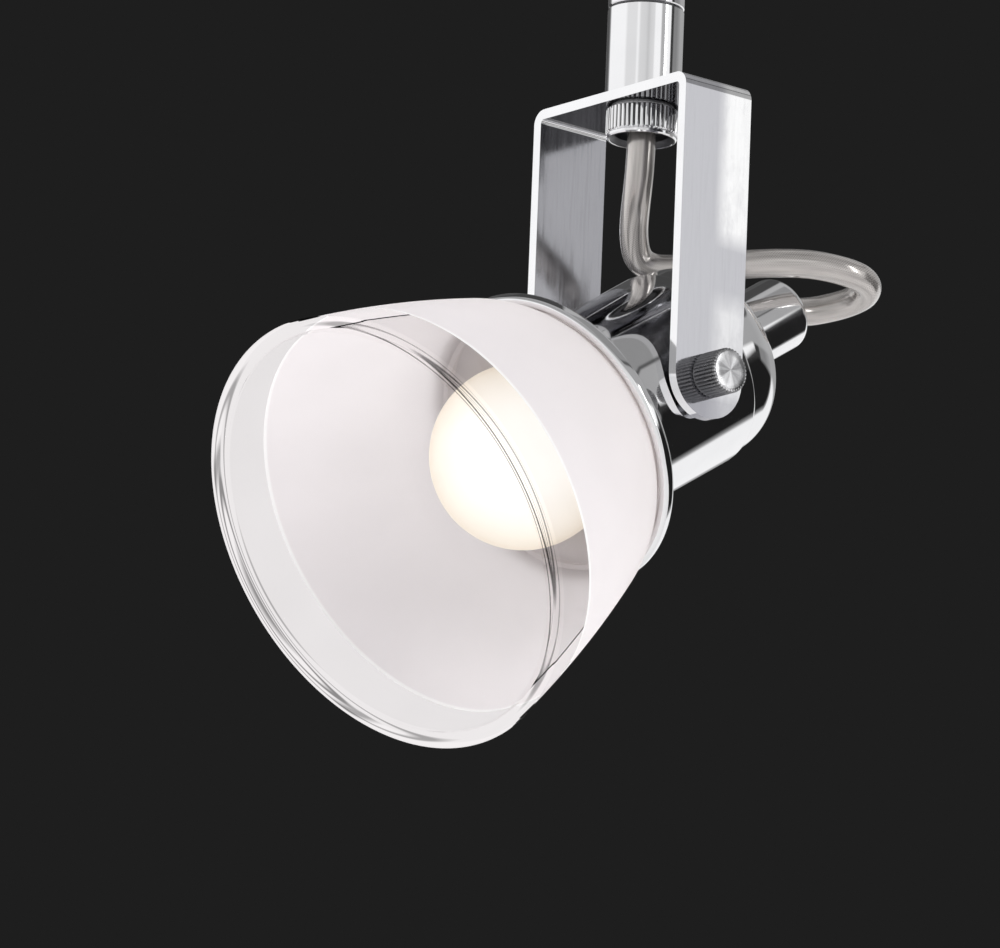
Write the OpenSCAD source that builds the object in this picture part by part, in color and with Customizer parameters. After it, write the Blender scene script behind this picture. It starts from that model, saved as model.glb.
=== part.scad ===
// A track spotlight. A hollow swivel stem carries a yoke bent from flat strip, and a
// chrome lamp head with a frosted bell glass tilts in the yoke on two thumb screws.
// The origin is the centre of the stem's top face, where its female thread opens.
// +Z is up, X is the tilt axis and the glass looks towards -Y and down.

/* [Stem and swivel] */
// Outside diameter of the collar and the sleeve
stem_d = 18.5; // [17:0.5:24]
// Length of the fixed collar
collar_len = 16; // [15:1:40]
// Length of the turning sleeve
sleeve_len = 22.2; // [12:0.1:80]
// Thread diameter of the hollow swivel nipple
nipple_d = 10; // [9.6:0.1:10.4]
// Bore of the hollow swivel nipple
nipple_bore = 8.2; // [8:0.1:8.4]
// Depth of the female thread in the collar
thread_depth = 9; // [6:1:11]
// Pan either way from straight ahead
pan_limit = 165; // [60:5:165]
// Thickness of the swivel washer at the seam
swivel_washer_t = 0.5; // [0.3:0.1:1]

/* [Swivel nut] */
// Diameter over the knurl of the nut under the yoke
nut_d = 17.6; // [17:0.2:20]
// Height of the nut
nut_h = 7.3; // [7:0.1:12]
// Number of knurl ridges round the nut
nut_ridges = 44; // [30:2:60]
// Depth of the hollow in the nut's lower face
nut_hollow = 3; // [1.5:0.1:4]
// Thickness of the spring washer above the nut
spring_washer_t = 0.6; // [0.4:0.1:1]

/* [Yoke] */
// Width of the strip
strip_w = 21; // [18:0.5:26]
// Thickness of the strip
strip_t = 2.5; // [2:0.1:3.5]
// Height of the web's top over the tilt axis
arm_len = 74.3; // [71:0.1:110]
// Inside radius of the two bends
bend_r = 1; // [0.5:0.1:3]
// Gap between the housing and each arm
arm_gap = 0.5; // [0.3:0.1:2]

/* [Tilt screws] */
// Diameter of the thumb screw's knurled head
knob_d = 11; // [9:0.5:14]
// Height of the thumb screw's head
knob_h = 8; // [5:0.5:14]
// Thread diameter of the thumb screw
screw_d = 4; // [3:0.5:5]
// Number of knurl ridges round the thumb screw
knob_ridges = 36; // [24:2:48]

/* [Housing] */
// How far below the horizon the lamp looks at rest
rest_tilt = 33; // [20:1:45]
// Outside diameter of the housing
housing_d = 50; // [49:0.5:56]
// Distance from the tilt axis back to the housing's rear edge
housing_back = 17; // [16:0.5:19]
// Distance from the tilt axis forward to the back of the gallery
gallery_front = 27.5; // [26.5:0.5:30]
// Radius of the flare from the housing to the gallery
flare_r = 12; // [12:0.5:14]
// Sheet thickness of the housing
sheet_t = 1.2; // [0.8:0.1:1.5]
// Thickness of the rolled rim round the gallery
rim_t = 2.5; // [2:0.1:3]
// Straight length between the rim's two rounds
rim_flat = 1.1; // [0.5:0.1:2]

/* [Rear cap and cord grip] */
// How far the rear cap is set in from the housing's side
cap_step = 1; // [0.7:0.1:1.3]
// Straight side of the rear cap before it rounds over
cap_side = 4; // [2:0.5:6]
// Radius of the rear cap's round shoulder
cap_round = 12; // [8:0.5:13]
// Wall of the rear cap
cap_t = 1.5; // [1:0.1:2]
// Outside diameter of the cord grip
gland_d = 18.3; // [16:0.1:20]
// Length of the cord grip behind the cap
gland_len = 23.5; // [18:0.5:30]
// Radius of the cord grip's outer edge
gland_edge = 2.5; // [1:0.1:3]
// Diameter of the cable
cable_d = 7; // [6.5:0.1:7.7]

/* [Shade] */
// Outside diameter of the glass at its mouth
mouth_d = 110; // [100:1:120]
// Distance from the tilt axis forward to the mouth
mouth_front = 91.5; // [84:0.5:110]
// Glass thickness
glass_t = 3.2; // [2.5:0.1:3.4]
// Diameter of the round lip at the mouth
lip_d = 3.9; // [3.6:0.1:5]
// How far the glass's shoulder stands out past the housing's side
shoulder_step = 16.3; // [15:0.1:17]
// Distance from the tilt axis forward to that place
shoulder_front = 42; // [40:0.5:46]
// Radius of the long curve of the bell
bell_r = 314; // [200:2:600]
// Radius of the shoulder's curve
shoulder_r = 32; // [30:0.5:36]

/* [Lampholder and bulb] */
// Diameter of the bulb
bulb_d = 45; // [40:1:48]
// Distance from the tilt axis forward to the middle of the bulb
bulb_front = 40; // [38:0.5:44]
// Length of the bulb from its middle back to its tip
bulb_back = 55.5; // [54:0.5:57]
// Diameter of the bulb's screw cap
bulb_cap_d = 13.9; // [13.5:0.1:14.1]
// Distance from the tilt axis forward to the glass's seat
seat_front = 5.2; // [5:0.1:5.6]
// Height of the ring that holds the glass
ring_h = 4.5; // [3.5:0.1:5]
// Gap between that ring and the glass's neck
ring_gap = 1.5; // [1:0.1:2]
// Width of that ring, from the lampholder's thread out
ring_w = 4.5; // [4:0.1:4.8]

/* [Hidden] */
$fn = 96;
fine = 180;

// Clearances
run_gap = 0.06;       // a shaft turning in its hole
press_gap = 0.03;     // a pin pressed into its hole
seat_gap = 0.3;       // a piece lying in a wider seat
cut = 1;              // how far a cutting shape runs past a face

// Stem
stem_r = stem_d / 2;
nipple_r = nipple_d / 2;
thread_h = 0.5;
thread_r = nipple_r - thread_h;
nipple_hole_r = nipple_r + run_gap;
pin_r = 1;
pin_depth = 2.4;
pin_seat = 3;
stop_r = (nipple_hole_r + stem_r) / 2;
collar_base = -collar_len;
sleeve_top = collar_base - swivel_washer_t;
web_top = sleeve_top - sleeve_len;
web_base = web_top - strip_t;
nut_top = web_base - spring_washer_t;
nut_base = nut_top - nut_h;
nut_mouth_r = nut_d / 2 - 0.9;
nut_lip = 1.2;
ridge_h = 0.4;
nipple_base = nut_base + nut_hollow;
pivot_z = web_top - arm_len;

// Yoke and pivots
housing_r = housing_d / 2;
arm_in = housing_r + arm_gap;
arm_out = arm_in + strip_t;
washer_r = knob_d / 2;
flat_x = sqrt(pow(housing_r, 2) - pow(washer_r, 2)) - 0.04;
screw_r = screw_d / 2;
screw_hole_r = screw_r + run_gap;
screw_free_r = screw_r + seat_gap;
bevel = 0.5;

// Housing, cap and cord grip, measured forward along the lamp's axis from the tilt axis
bore_r = housing_r - sheet_t;
rear_s = -housing_back;
flare_foot = gallery_front - flare_r;
flare_out = housing_r + flare_r;
rim_r = rim_t / 2;
rim_step = 0.25;
rim_mid = flare_out - 3 * rim_step;
rim_back = gallery_front + rim_r + rim_step;
edge_r = 1;
cap_r = housing_r - cap_step;
cap_turn = rear_s - cap_side;
cap_back = cap_turn - cap_round;
spigot_len = 5;
spigot_r = bore_r - run_gap;
gland_r = gland_d / 2;
gland_back = cap_back - gland_len;
gland_stub = 6;
stub_r = 4.9;
collet_r = 5.6;
collet_depth = 14;
cable_r = cable_d / 2;
cable_bore_r = cable_r + 0.05;
locknut_r = 8;
locknut_h = 3;
cable_end = cap_back + gland_stub + 0.5;

// Glass
glass_gap = 0.6;
mouth_r = mouth_d / 2;
lip_r = lip_d / 2;
lip_step = 0.3;
neck_r = bore_r - glass_gap;
neck_turn = flare_r + sheet_t + glass_gap;
shade_rear = gallery_front + sheet_t;
bell_foot = [housing_r + shoulder_step, shoulder_front];
ring_r = neck_r - glass_t - ring_gap;
notches = 12;
notch_r = 1.6;
notch_depth = 1;
bell_end = [mouth_r - lip_step, mouth_front - lip_r];
bell_chord = norm(bell_end - bell_foot);
bell_in = [bell_foot[1] - bell_end[1], bell_end[0] - bell_foot[0]] / bell_chord;
bell_mid = (bell_foot + bell_end) / 2
  + bell_in * sqrt(pow(bell_r, 2) - pow(bell_chord / 2, 2));
shoulder_mid = bell_foot + shoulder_r * (bell_mid - bell_foot) / bell_r;

// Bracket, lampholder and bulb
holder_r = ring_r - ring_w;
plate_t = 1.2;
leg_in = bore_r - 3.6;
leg_w = 12;
leg_back = -7;
earth_leg_back = -15;
boss_in = holder_r + 3;
boss_r = screw_r + 2.5;
boss_out = sqrt(pow(bore_r, 2) - pow(boss_r, 2)) - 0.05;
plate_back = seat_front - plate_t;
holder_front = seat_front + glass_t + ring_h + 1;
holder_flange_r = holder_r + 2;
holder_flange_t = 2.2;
tip_s = bulb_front - bulb_back;
holder_floor = tip_s - 2.5;
holder_back = holder_floor - 3;
bulb_shell_at = 5.5;
bulb_skirt_at = 20.5;
bulb_rim_at = 25;
cap_rim_s = tip_s + bulb_rim_at;
cap_skirt_s = tip_s + bulb_skirt_at;
cap_shell_s = tip_s + bulb_shell_at;
bulb_wall = 0.5;
insulator_h = 3.6;
tip_h = 0.8;
bulb_cap_r = bulb_cap_d / 2;
shell_bore_r = bulb_cap_r + run_gap;
shell_t = 0.35;
shell_r = shell_bore_r + shell_t;
skirt_bore_r = holder_r - 2.8;
bulb_r = bulb_d / 2;
bulb_rim_r = bulb_cap_r + 1.55;
neck_top = bulb_front - 0.68 * bulb_r;
neck_top_r = sqrt(pow(bulb_r, 2) - pow(bulb_front - neck_top, 2));
bulb_t = 0.8;
terminal_x = 8;
terminal_r = 2.2;
terminal_depth = 3;
contact_r = 2.8;
contact_t = 0.8;
contact_back = tip_s - 0.1 - contact_t;
rivet_r = 1.2;
earth_s = -11.5;
earth_r = 1.5;
earth_head_r = 2.6;
earth_head_h = 1.8;
tag_t = 0.8;
tag_r = 3.2;
tag_w = 2;
tag_len = 6;
wire_r = 0.8;
tag_wire_x = leg_in - tag_t - wire_r;

// The cable's centreline. Its loop is given from the tilt axis: x to the right, y to the
// rear, z up. Above the loop it hangs in the stem, and behind the loop it lies in the grip.
cable_drop = [[0, 0, 94], [0, 0, 80], [0, 0, 68], [-0.2, 0.1, 61], [-1.2, 0.7, 55.5]];
cable_loop = [
  [-3, 1.8, 51.2], [-5.2, 3.3, 47.7], [-7.4, 5, 44.6], [-9.2, 6.8, 41.8],
  [-10.4, 8.6, 39.5], [-10.7, 10.5, 37.8], [-10, 12.4, 36.8], [-8.6, 14.3, 36.3],
  [-6.3, 16.5, 36.2], [-2, 20.2, 36.4], [2.8, 24.4, 36.9], [7, 29.2, 37.6],
  [10, 34, 38.3], [12.2, 38.8, 38.9], [14.1, 43.5, 39.2], [15.7, 48.3, 39.1],
  [16.8, 53, 38.7], [16.8, 57.5, 38.1], [15, 61.2, 37.2], [11.8, 63.2, 36.2],
  [8.3, 63.1, 35.3], [5.2, 61.5, 34.3], [2.8, 58.9, 33.3], [1.1, 55.7, 32.3],
  [0.3, 52.1, 31.5]];
cable_grip = [gland_back, gland_back + collet_depth / 2, gland_back + collet_depth + 2, cable_end];
cable_sides = 12;
wire_sides = 8;

// A point on the lamp's axis at rest, from the tilt axis
function on_axis(s) = [0, -s * cos(rest_tilt), -s * sin(rest_tilt)];
function cable_route() = concat(cable_drop, cable_loop, [for (s = cable_grip) on_axis(s)]);

// Radius of the shoulder's curve at a height along the axis, set in by a thickness
function shoulder_edge(s, inset) = shoulder_mid[0]
  + sqrt(pow(shoulder_r - inset, 2) - pow(s - shoulder_mid[1], 2));

// Corners of a straight knurl, ridge by ridge
function knurl(r, ridges) = [for (i = [0:ridges - 1], p = [[-0.42, -ridge_h], [0, 0],
  [0.42, -ridge_h]]) let (a = (i + p[0]) * 360 / ridges) (r + p[1]) * [cos(a), sin(a)]];

// Sweep of a round section along a list of points, with no twist
function unit(v) = v / norm(v);
function heading(p, i) = unit(p[min(i + 1, len(p) - 1)] - p[max(i - 1, 0)]);
function carried(side, d) = unit(side - (side * d) * d);
function sides(p, i = 0, side = [1, 0, 0]) = i == len(p) ? []
  : let (s = carried(side, heading(p, i))) concat([s], sides(p, i + 1, s));

module sweep(p, r, n) {
  side = sides(p);
  rings = [for (i = [0:len(p) - 1]) let (d = heading(p, i), v = cross(d, side[i]))
    for (k = [0:n - 1]) p[i] + r * (cos(k * 360 / n) * side[i] + sin(k * 360 / n) * v)];
  last = (len(p) - 1) * n;
  walls = [for (i = [0:len(p) - 2], k = [0:n - 1])
    let (a = i * n + k, b = i * n + (k + 1) % n) each [[a, b + n, b], [a, a + n, b + n]]];
  ends = [[for (k = [0:n - 1]) k], [for (k = [n - 1:-1:0]) last + k]];
  polyhedron(rings, concat(walls, ends));
}

// Places a shape made along +Z onto the lamp's axis, with +Z forward out of the mouth
module on_head() translate([0, 0, pivot_z]) rotate([90 + rest_tilt, 0, 0]) children();

// Turns a profile of radius and height about the axis
module turned() rotate_extrude() children();

// A ring between two radii and two heights
module ring(inner, outer, low, high)
  translate([0, 0, low]) difference() {
    cylinder(r = outer, h = high - low);
    translate([0, 0, -cut]) cylinder(r = inner, h = high - low + 2 * cut);
  }

// A plain rectangle of a profile, from the axis out
module band(r, low, high) translate([0, low]) square([r, high - low]);

// A cylinder along the tilt axis between two places, on the side given as -1 or 1
module along_tilt(side, r, from, to)
  rotate([0, 90 * side, 0]) translate([0, 0, from]) cylinder(r = r, h = to - from);

module stem_coupler() color("silver") difference() {
  translate([0, 0, collar_base]) cylinder(r = stem_r, h = collar_len);
  translate([0, 0, collar_base - cut]) cylinder(r = nipple_r + press_gap,
    h = collar_len - thread_depth + cut);
  translate([0, 0, -thread_depth - cut]) cylinder(r = thread_r, h = thread_depth + 2 * cut);
  translate([0, -stop_r, collar_base - cut]) cylinder(r = pin_r + press_gap, h = pin_seat + cut);
}

module swivel_nipple() color("goldenrod")
  ring(nipple_bore / 2, nipple_r, nipple_base, -thread_depth);

module stop_pin() color("dimgray")
  translate([0, -stop_r, sleeve_top - pin_depth])
    cylinder(r = pin_r, h = pin_depth + swivel_washer_t + pin_seat);

module swivel_washer() color("dimgray") difference() {
  ring(nipple_hole_r, stem_r - bevel, sleeve_top, collar_base);
  translate([0, -stop_r, sleeve_top - cut]) cylinder(r = pin_r + run_gap,
    h = swivel_washer_t + 2 * cut);
}

// The groove in the sleeve's top runs round as far as the pan goes, and a lug ends it
module stem_sleeve() color("silver") {
  pin_turn = asin((pin_r + run_gap) / stop_r);
  sweep_turn = 2 * (pan_limit + pin_turn);
  difference() {
    ring(nipple_hole_r, stem_r, web_top, sleeve_top);
    translate([0, 0, sleeve_top - pin_depth - 0.1]) rotate([0, 0, -90 - sweep_turn / 2])
      rotate_extrude(angle = sweep_turn) translate([stop_r - pin_r - run_gap, 0])
        square([2 * (pin_r + run_gap), pin_depth + cut]);
  }
}

// Outline of an arch with two round upper corners
module arch(half_w, top, r) {
  foot = pivot_z - strip_w;
  translate([-half_w, foot]) square([2 * half_w, top - r - foot]);
  translate([r - half_w, foot]) square([2 * (half_w - r), top - foot]);
  for (side = [-1, 1]) translate([side * (half_w - r), top - r]) circle(r);
}

module yoke_strip() color("gainsboro") difference() {
  intersection() {
    rotate([90, 0, 0]) linear_extrude(strip_w + 2 * cut, center = true) difference() {
      arch(arm_out, web_top, bend_r + strip_t);
      arch(arm_in, web_base, bend_r);
    }
    rotate([90, 0, 90]) linear_extrude(2 * arm_out + 2 * cut, center = true) {
      translate([0, pivot_z]) circle(strip_w / 2);
      translate([-strip_w / 2, pivot_z]) square([strip_w, arm_len + cut]);
    }
  }
  translate([0, 0, web_base - cut]) cylinder(r = nipple_hole_r, h = strip_t + 2 * cut);
  translate([0, 0, pivot_z]) for (side = [-1, 1])
    along_tilt(side, screw_hole_r, arm_in - cut, arm_out + cut);
}

module spring_washer() color("dimgray")
  ring(nipple_hole_r, nut_mouth_r - 0.4, nut_top, web_base);

// Straight knurl above a plain turned lip, hollow below round the cable
module knurled_nut() color("silver") difference() {
  union() {
    translate([0, 0, nut_base + nut_lip]) linear_extrude(nut_h - nut_lip)
      polygon(knurl(nut_d / 2, nut_ridges));
    translate([0, 0, nut_base]) cylinder(r1 = nut_d / 2 - 0.5, r2 = nut_d / 2 - 0.1, h = nut_lip);
  }
  translate([0, 0, nut_base - cut]) cylinder(r = nipple_hole_r, h = nut_h + 2 * cut);
  translate([0, 0, nut_base - cut]) cylinder(r = nut_mouth_r - 1.3, h = nut_hollow + cut);
  translate([0, 0, nut_base - 0.01]) cylinder(r1 = nut_mouth_r, r2 = nut_mouth_r - 1.3, h = 1.2);
}

// Thumb screw: collar against the arm, knurled grip, bevelled end and plain shank
module tilt_screw(side) color("gainsboro") translate([0, 0, pivot_z]) {
  rotate([0, 90 * side, 0]) {
    translate([0, 0, arm_out]) cylinder(r = knob_d / 2 - bevel, h = bevel);
    translate([0, 0, arm_out + bevel]) linear_extrude(knob_h - 2 * bevel)
      polygon(knurl(knob_d / 2, knob_ridges));
    translate([0, 0, arm_out + knob_h - bevel])
      cylinder(r1 = knob_d / 2 - ridge_h / 2, r2 = knob_d / 2 - bevel - ridge_h, h = bevel);
  }
  along_tilt(side, screw_r, boss_in + 0.2, arm_out + bevel);
}
module left_tilt_screw() tilt_screw(-1);
module right_tilt_screw() tilt_screw(1);

module friction_washer(side) color("dimgray") translate([0, 0, pivot_z]) difference() {
  along_tilt(side, washer_r, flat_x, arm_in);
  along_tilt(side, screw_free_r, flat_x - cut, arm_in + cut);
}
module left_friction_washer() friction_washer(-1);
module right_friction_washer() friction_washer(1);

// Straight drawn cup with a flare that ends in a rolled rim
module housing_profile() {
  difference() {
    union() {
      band(housing_r, rear_s + edge_r, flare_foot);
      band(housing_r - edge_r, rear_s, flare_foot);
      translate([housing_r - edge_r, rear_s + edge_r]) circle(edge_r);
      difference() {
        band(rim_mid, flare_foot, shade_rear);
        translate([flare_out, flare_foot]) circle(flare_r);
      }
    }
    band(bore_r, rear_s - cut, flare_foot);
    difference() {
      band(flare_out, flare_foot, shade_rear + cut);
      translate([flare_out, flare_foot]) circle(flare_r + sheet_t);
    }
  }
  translate([rim_mid, rim_back]) circle(rim_r);
  translate([rim_mid, rim_back + rim_flat]) circle(rim_r);
  translate([rim_mid - rim_r, rim_back]) square([rim_t, rim_flat]);
}

module housing() color("silver") on_head() difference() {
  turned() housing_profile();
  for (side = [-1, 1]) {
    along_tilt(side, screw_free_r, bore_r - 3, housing_r + cut);
    along_tilt(side, washer_r + seat_gap, flat_x, housing_r + cut);
  }
}

// The domed cap with its spigot inside the housing
module cap_solid(inset) {
  band(cap_r - inset, cap_turn, rear_s);
  band(cap_r - cap_round, cap_back + inset, cap_turn);
  intersection() {
    translate([cap_r - cap_round, cap_turn]) circle(cap_round - inset);
    band(cap_r, cap_back, cap_turn);
  }
}

module rear_cap() color("silver") on_head() turned() difference() {
  union() {
    cap_solid(0);
    band(spigot_r, rear_s, rear_s + spigot_len);
  }
  cap_solid(cap_t);
  band(cap_r - cap_t, rear_s - cut, rear_s + spigot_len + cut);
  band(stub_r + press_gap, cap_back - cut, rear_s);
}

module gland_body() color("silver") on_head() turned() difference() {
  union() {
    band(gland_r, gland_back + gland_edge, cap_back);
    band(gland_r - gland_edge, gland_back, cap_back);
    translate([gland_r - gland_edge, gland_back + gland_edge]) circle(gland_edge);
    band(stub_r, cap_back, cap_back + gland_stub);
  }
  band(cable_bore_r, gland_back - cut, cap_back + gland_stub + cut);
  band(collet_r, gland_back - cut, gland_back + collet_depth);
}

module gland_insert() color("gray") on_head()
  ring(cable_bore_r, collet_r - press_gap, gland_back + 0.6, gland_back + collet_depth);

module gland_locknut() color("goldenrod") on_head() difference() {
  translate([0, 0, cap_back + cap_t]) cylinder(r = locknut_r, h = locknut_h, $fn = 6);
  translate([0, 0, cap_back]) cylinder(r = stub_r + press_gap, h = locknut_h + 2 * cap_t);
}

// The bracket's plate carries the lampholder; its two legs take the thumb screws
module holder_bracket() color("lightsteelblue") on_head() difference() {
  union() {
    translate([0, 0, plate_back]) cylinder(r = bore_r - seat_gap, h = plate_t);
    for (side = [-1, 1]) {
      back = side < 0 ? earth_leg_back : leg_back;
      translate([side > 0 ? leg_in : -leg_in - plate_t, -leg_w / 2, back])
        cube([plate_t, leg_w, plate_back - back + plate_t / 2]);
      along_tilt(side, boss_r, boss_in, boss_out);
    }
  }
  translate([0, 0, plate_back - cut])
    cylinder(r = holder_r + seat_gap, h = plate_t + 2 * cut);
  for (side = [-1, 1]) along_tilt(side, screw_hole_r, boss_in - cut, boss_out + cut);
  translate([0, 0, earth_s]) along_tilt(-1, earth_r, leg_in - cut, leg_in + plate_t + cut);
}

module lampholder() color("ivory") on_head() difference() {
  turned() difference() {
    union() {
      band(holder_r - bevel, holder_back, holder_front);
      band(holder_r, holder_back + bevel, holder_front - bevel);
      band(holder_flange_r, plate_back - holder_flange_t, plate_back);
    }
    band(shell_r + run_gap, holder_floor, seat_front);
    band(skirt_bore_r, seat_front, holder_front + cut);
  }
  for (side = [-1, 1]) translate([side * terminal_x, 0, holder_back - cut])
    cylinder(r = terminal_r + press_gap, h = terminal_depth + cut);
}

// The threaded sleeve is drawn as its bore, with a turned-in foot round the contact
module screw_shell() color("goldenrod") on_head() turned() difference() {
  band(shell_r, cap_shell_s - 1, seat_front);
  band(shell_bore_r, cap_shell_s - 0.5, seat_front + cut);
  band(shell_bore_r - 1, cap_shell_s - 2, seat_front);
}

module centre_contact() color("goldenrod") on_head() {
  translate([0, 0, contact_back]) cylinder(r = contact_r, h = contact_t);
  translate([0, 0, holder_floor]) cylinder(r = rivet_r, h = contact_back - holder_floor);
}

module terminals() color("goldenrod") on_head() for (side = [-1, 1])
  translate([side * terminal_x, 0, holder_back]) difference() {
    cylinder(r = terminal_r, h = terminal_depth);
    translate([-0.3, -terminal_r - cut, -cut]) cube([0.6, 2 * (terminal_r + cut), cut + 0.6]);
  }

module earth_tag() color("gainsboro") on_head() translate([0, 0, earth_s]) difference() {
  union() {
    along_tilt(-1, tag_r, leg_in - tag_t, leg_in);
    translate([-leg_in, -tag_w / 2, -tag_len]) cube([tag_t, tag_w, tag_len]);
  }
  along_tilt(-1, earth_r, leg_in - tag_t - cut, leg_in + cut);
}

module earth_screw() color("goldenrod") on_head() translate([0, 0, earth_s]) {
  along_tilt(-1, earth_head_r, leg_in - tag_t - earth_head_h, leg_in - tag_t);
  along_tilt(-1, earth_r - press_gap, leg_in - tag_t, leg_in + plate_t);
}

// The three cores, from the cable's end to the terminals and the earth tag
module terminal_wire(side) on_head() sweep([[side * 1.6, -0.8, cable_end],
  [side * 1.6, -0.8, cable_end + 1], [side * 2.8, -0.8, cable_end + 2.1],
  [side * 5, -0.5, cable_end + 2.9], [side * 7.2, -0.1, cable_end + 3.7],
  [side * terminal_x, 0, holder_back - 0.9], [side * terminal_x, 0, holder_back]],
  wire_r, wire_sides);
module live_wire() color("saddlebrown") terminal_wire(1);
module neutral_wire() color("steelblue") terminal_wire(-1);
module earth_wire() color("yellowgreen") on_head() sweep([[0, 1.6, cable_end],
  [0, 1.6, cable_end + 1], [-1.6, 2.6, cable_end + 2], [-6, 5, cable_end + 2.8],
  [-0.7 * tag_wire_x, 5.2, cable_end + 4], [1 - tag_wire_x, 3.8, cable_end + 5.8],
  [-tag_wire_x, 1.6, cable_end + 7.6], [-tag_wire_x, 0, earth_s - 5]], wire_r, wire_sides);

// The bell from the axis out: long curve, shoulder, then a neck that follows the flare
module glass_solid(inset) {
  shoulder_foot = shade_rear + inset;
  intersection() {
    translate(bell_mid) circle(bell_r - inset, $fn = 8 * fine);
    band(mouth_r, shoulder_front, bell_end[1] + (inset > 0 ? cut : 0));
  }
  intersection() {
    translate(shoulder_mid) circle(shoulder_r - inset, $fn = fine);
    band(mouth_r, shoulder_foot, shoulder_front);
  }
  difference() {
    band(shoulder_edge(shoulder_foot, inset), seat_front + inset, shoulder_foot);
    translate([flare_out, flare_foot]) circle(neck_turn + inset);
    translate([neck_r - inset, 0]) square([flare_r * 2, flare_foot]);
  }
}

module shade() color([0.93, 0.93, 0.95, 0.6]) on_head() rotate_extrude($fn = fine) {
  difference() {
    glass_solid(0);
    glass_solid(glass_t);
    band(holder_r + seat_gap, seat_front - cut, seat_front + glass_t + cut);
  }
  translate([mouth_r - lip_r, mouth_front - lip_r]) circle(lip_r);
}

// Ring on the lampholder's thread, with finger notches round its edge
module shade_ring() color("ivory") on_head() difference() {
  ring(holder_r + run_gap, ring_r, seat_front + glass_t, seat_front + glass_t + ring_h);
  for (i = [0:notches - 1]) rotate([0, 0, i * 360 / notches])
    translate([ring_r + notch_r - notch_depth, 0, seat_front])
      cylinder(r = notch_r, h = glass_t + ring_h + cut);
}

module bulb_solid(inset) {
  translate([0, bulb_front]) intersection() {
    circle(bulb_r - inset, $fn = fine);
    translate([0, -bulb_r]) square([bulb_r, bulb_d]);
  }
  polygon([[0, cap_rim_s - (inset > 0 ? cut : 0)],
    [bulb_rim_r - 0.3 - inset, cap_rim_s - (inset > 0 ? cut : 0)],
    [bulb_rim_r - 0.3 - inset, cap_rim_s], [neck_top_r - inset, neck_top], [0, neck_top]]);
}

module bulb_globe() color("lightyellow") on_head() rotate_extrude($fn = fine) difference() {
  bulb_solid(0);
  bulb_solid(bulb_t);
}

// Glass foot, two leads and a filament arched between them
module filament_mount() color("lightgray") on_head() {
  lead_top = bulb_front - 4;
  translate([0, 0, cap_rim_s]) cylinder(r = bulb_rim_r - 0.3 - bulb_t - run_gap, h = 1);
  translate([0, 0, cap_rim_s]) cylinder(r = 3, h = neck_top - cap_rim_s);
  for (side = [-1, 1]) translate([side * 2, 0, neck_top - cut])
    rotate([0, side * 25, 0]) cylinder(r = 0.5, h = (lead_top - neck_top + cut) / cos(25));
  translate([0, 0, lead_top]) rotate([90, 0, 0]) rotate_extrude(angle = 180)
    translate([2 + (lead_top - neck_top + cut) * tan(25), 0]) circle(0.6);
}

module bulb_cap() color("gainsboro") on_head() turned() difference() {
  union() {
    band(bulb_cap_r, cap_shell_s, cap_skirt_s);
    polygon([[0, cap_skirt_s], [bulb_cap_r, cap_skirt_s], [bulb_rim_r, cap_rim_s], [0, cap_rim_s]]);
  }
  band(bulb_cap_r - bulb_wall, cap_shell_s + bulb_wall, cap_skirt_s);
  polygon([[0, cap_skirt_s], [bulb_cap_r - bulb_wall, cap_skirt_s],
    [bulb_rim_r - bulb_wall, cap_rim_s], [bulb_rim_r - bulb_wall, cap_rim_s + cut],
    [0, cap_rim_s + cut]]);
}

module bulb_insulator() color("black") on_head() translate([0, 0, cap_shell_s - insulator_h])
  cylinder(r1 = 2.9, r2 = shell_bore_r - 1 - run_gap, h = insulator_h);

module bulb_tip() color("gainsboro") on_head() translate([0, 0, tip_s]) {
  cylinder(r1 = 1.8, r2 = 2.6, h = tip_h);
  translate([0, 0, tip_h]) cylinder(r = 2.6, h = bulb_shell_at - insulator_h - tip_h);
}

module cable() color("lightslategray") translate([0, 0, pivot_z])
  sweep(cable_route(), cable_r, cable_sides);

stem_coupler();
swivel_nipple();
stop_pin();
swivel_washer();
stem_sleeve();
yoke_strip();
spring_washer();
knurled_nut();
left_tilt_screw();
right_tilt_screw();
left_friction_washer();
right_friction_washer();
housing();
rear_cap();
gland_body();
gland_insert();
gland_locknut();
holder_bracket();
lampholder();
screw_shell();
centre_contact();
terminals();
earth_tag();
earth_screw();
live_wire();
neutral_wire();
earth_wire();
shade();
shade_ring();
bulb_globe();
filament_mount();
bulb_cap();
bulb_insulator();
bulb_tip();
cable();
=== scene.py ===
"""Track spotlight: chrome swivel stem, bent strip yoke and a tilting lamp head with a frosted
bell glass. Every piece stands in the packed frame, in metres, and can be made on its own from
the Spotlight panel in the 3D view's sidebar."""

import math

import bmesh
import bpy
from mathutils import Matrix, Vector


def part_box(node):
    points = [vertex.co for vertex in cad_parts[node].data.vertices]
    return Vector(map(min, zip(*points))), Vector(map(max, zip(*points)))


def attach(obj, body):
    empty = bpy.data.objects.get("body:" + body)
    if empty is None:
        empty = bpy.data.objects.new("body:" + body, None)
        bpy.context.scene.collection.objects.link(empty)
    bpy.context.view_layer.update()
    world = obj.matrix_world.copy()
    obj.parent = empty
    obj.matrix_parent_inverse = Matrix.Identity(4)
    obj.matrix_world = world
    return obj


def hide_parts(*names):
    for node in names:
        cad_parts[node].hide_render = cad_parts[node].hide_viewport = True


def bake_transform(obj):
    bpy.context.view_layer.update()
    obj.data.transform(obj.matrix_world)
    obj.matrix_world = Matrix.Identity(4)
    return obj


bl_info = {
    "name": "Track spotlight",
    "version": (1, 0, 0),
    "blender": (4, 5, 0),
    "location": "View3D > Sidebar > Spotlight",
    "description": "Builds a chrome track spotlight with a frosted bell glass",
    "category": "Add Mesh",
}

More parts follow.
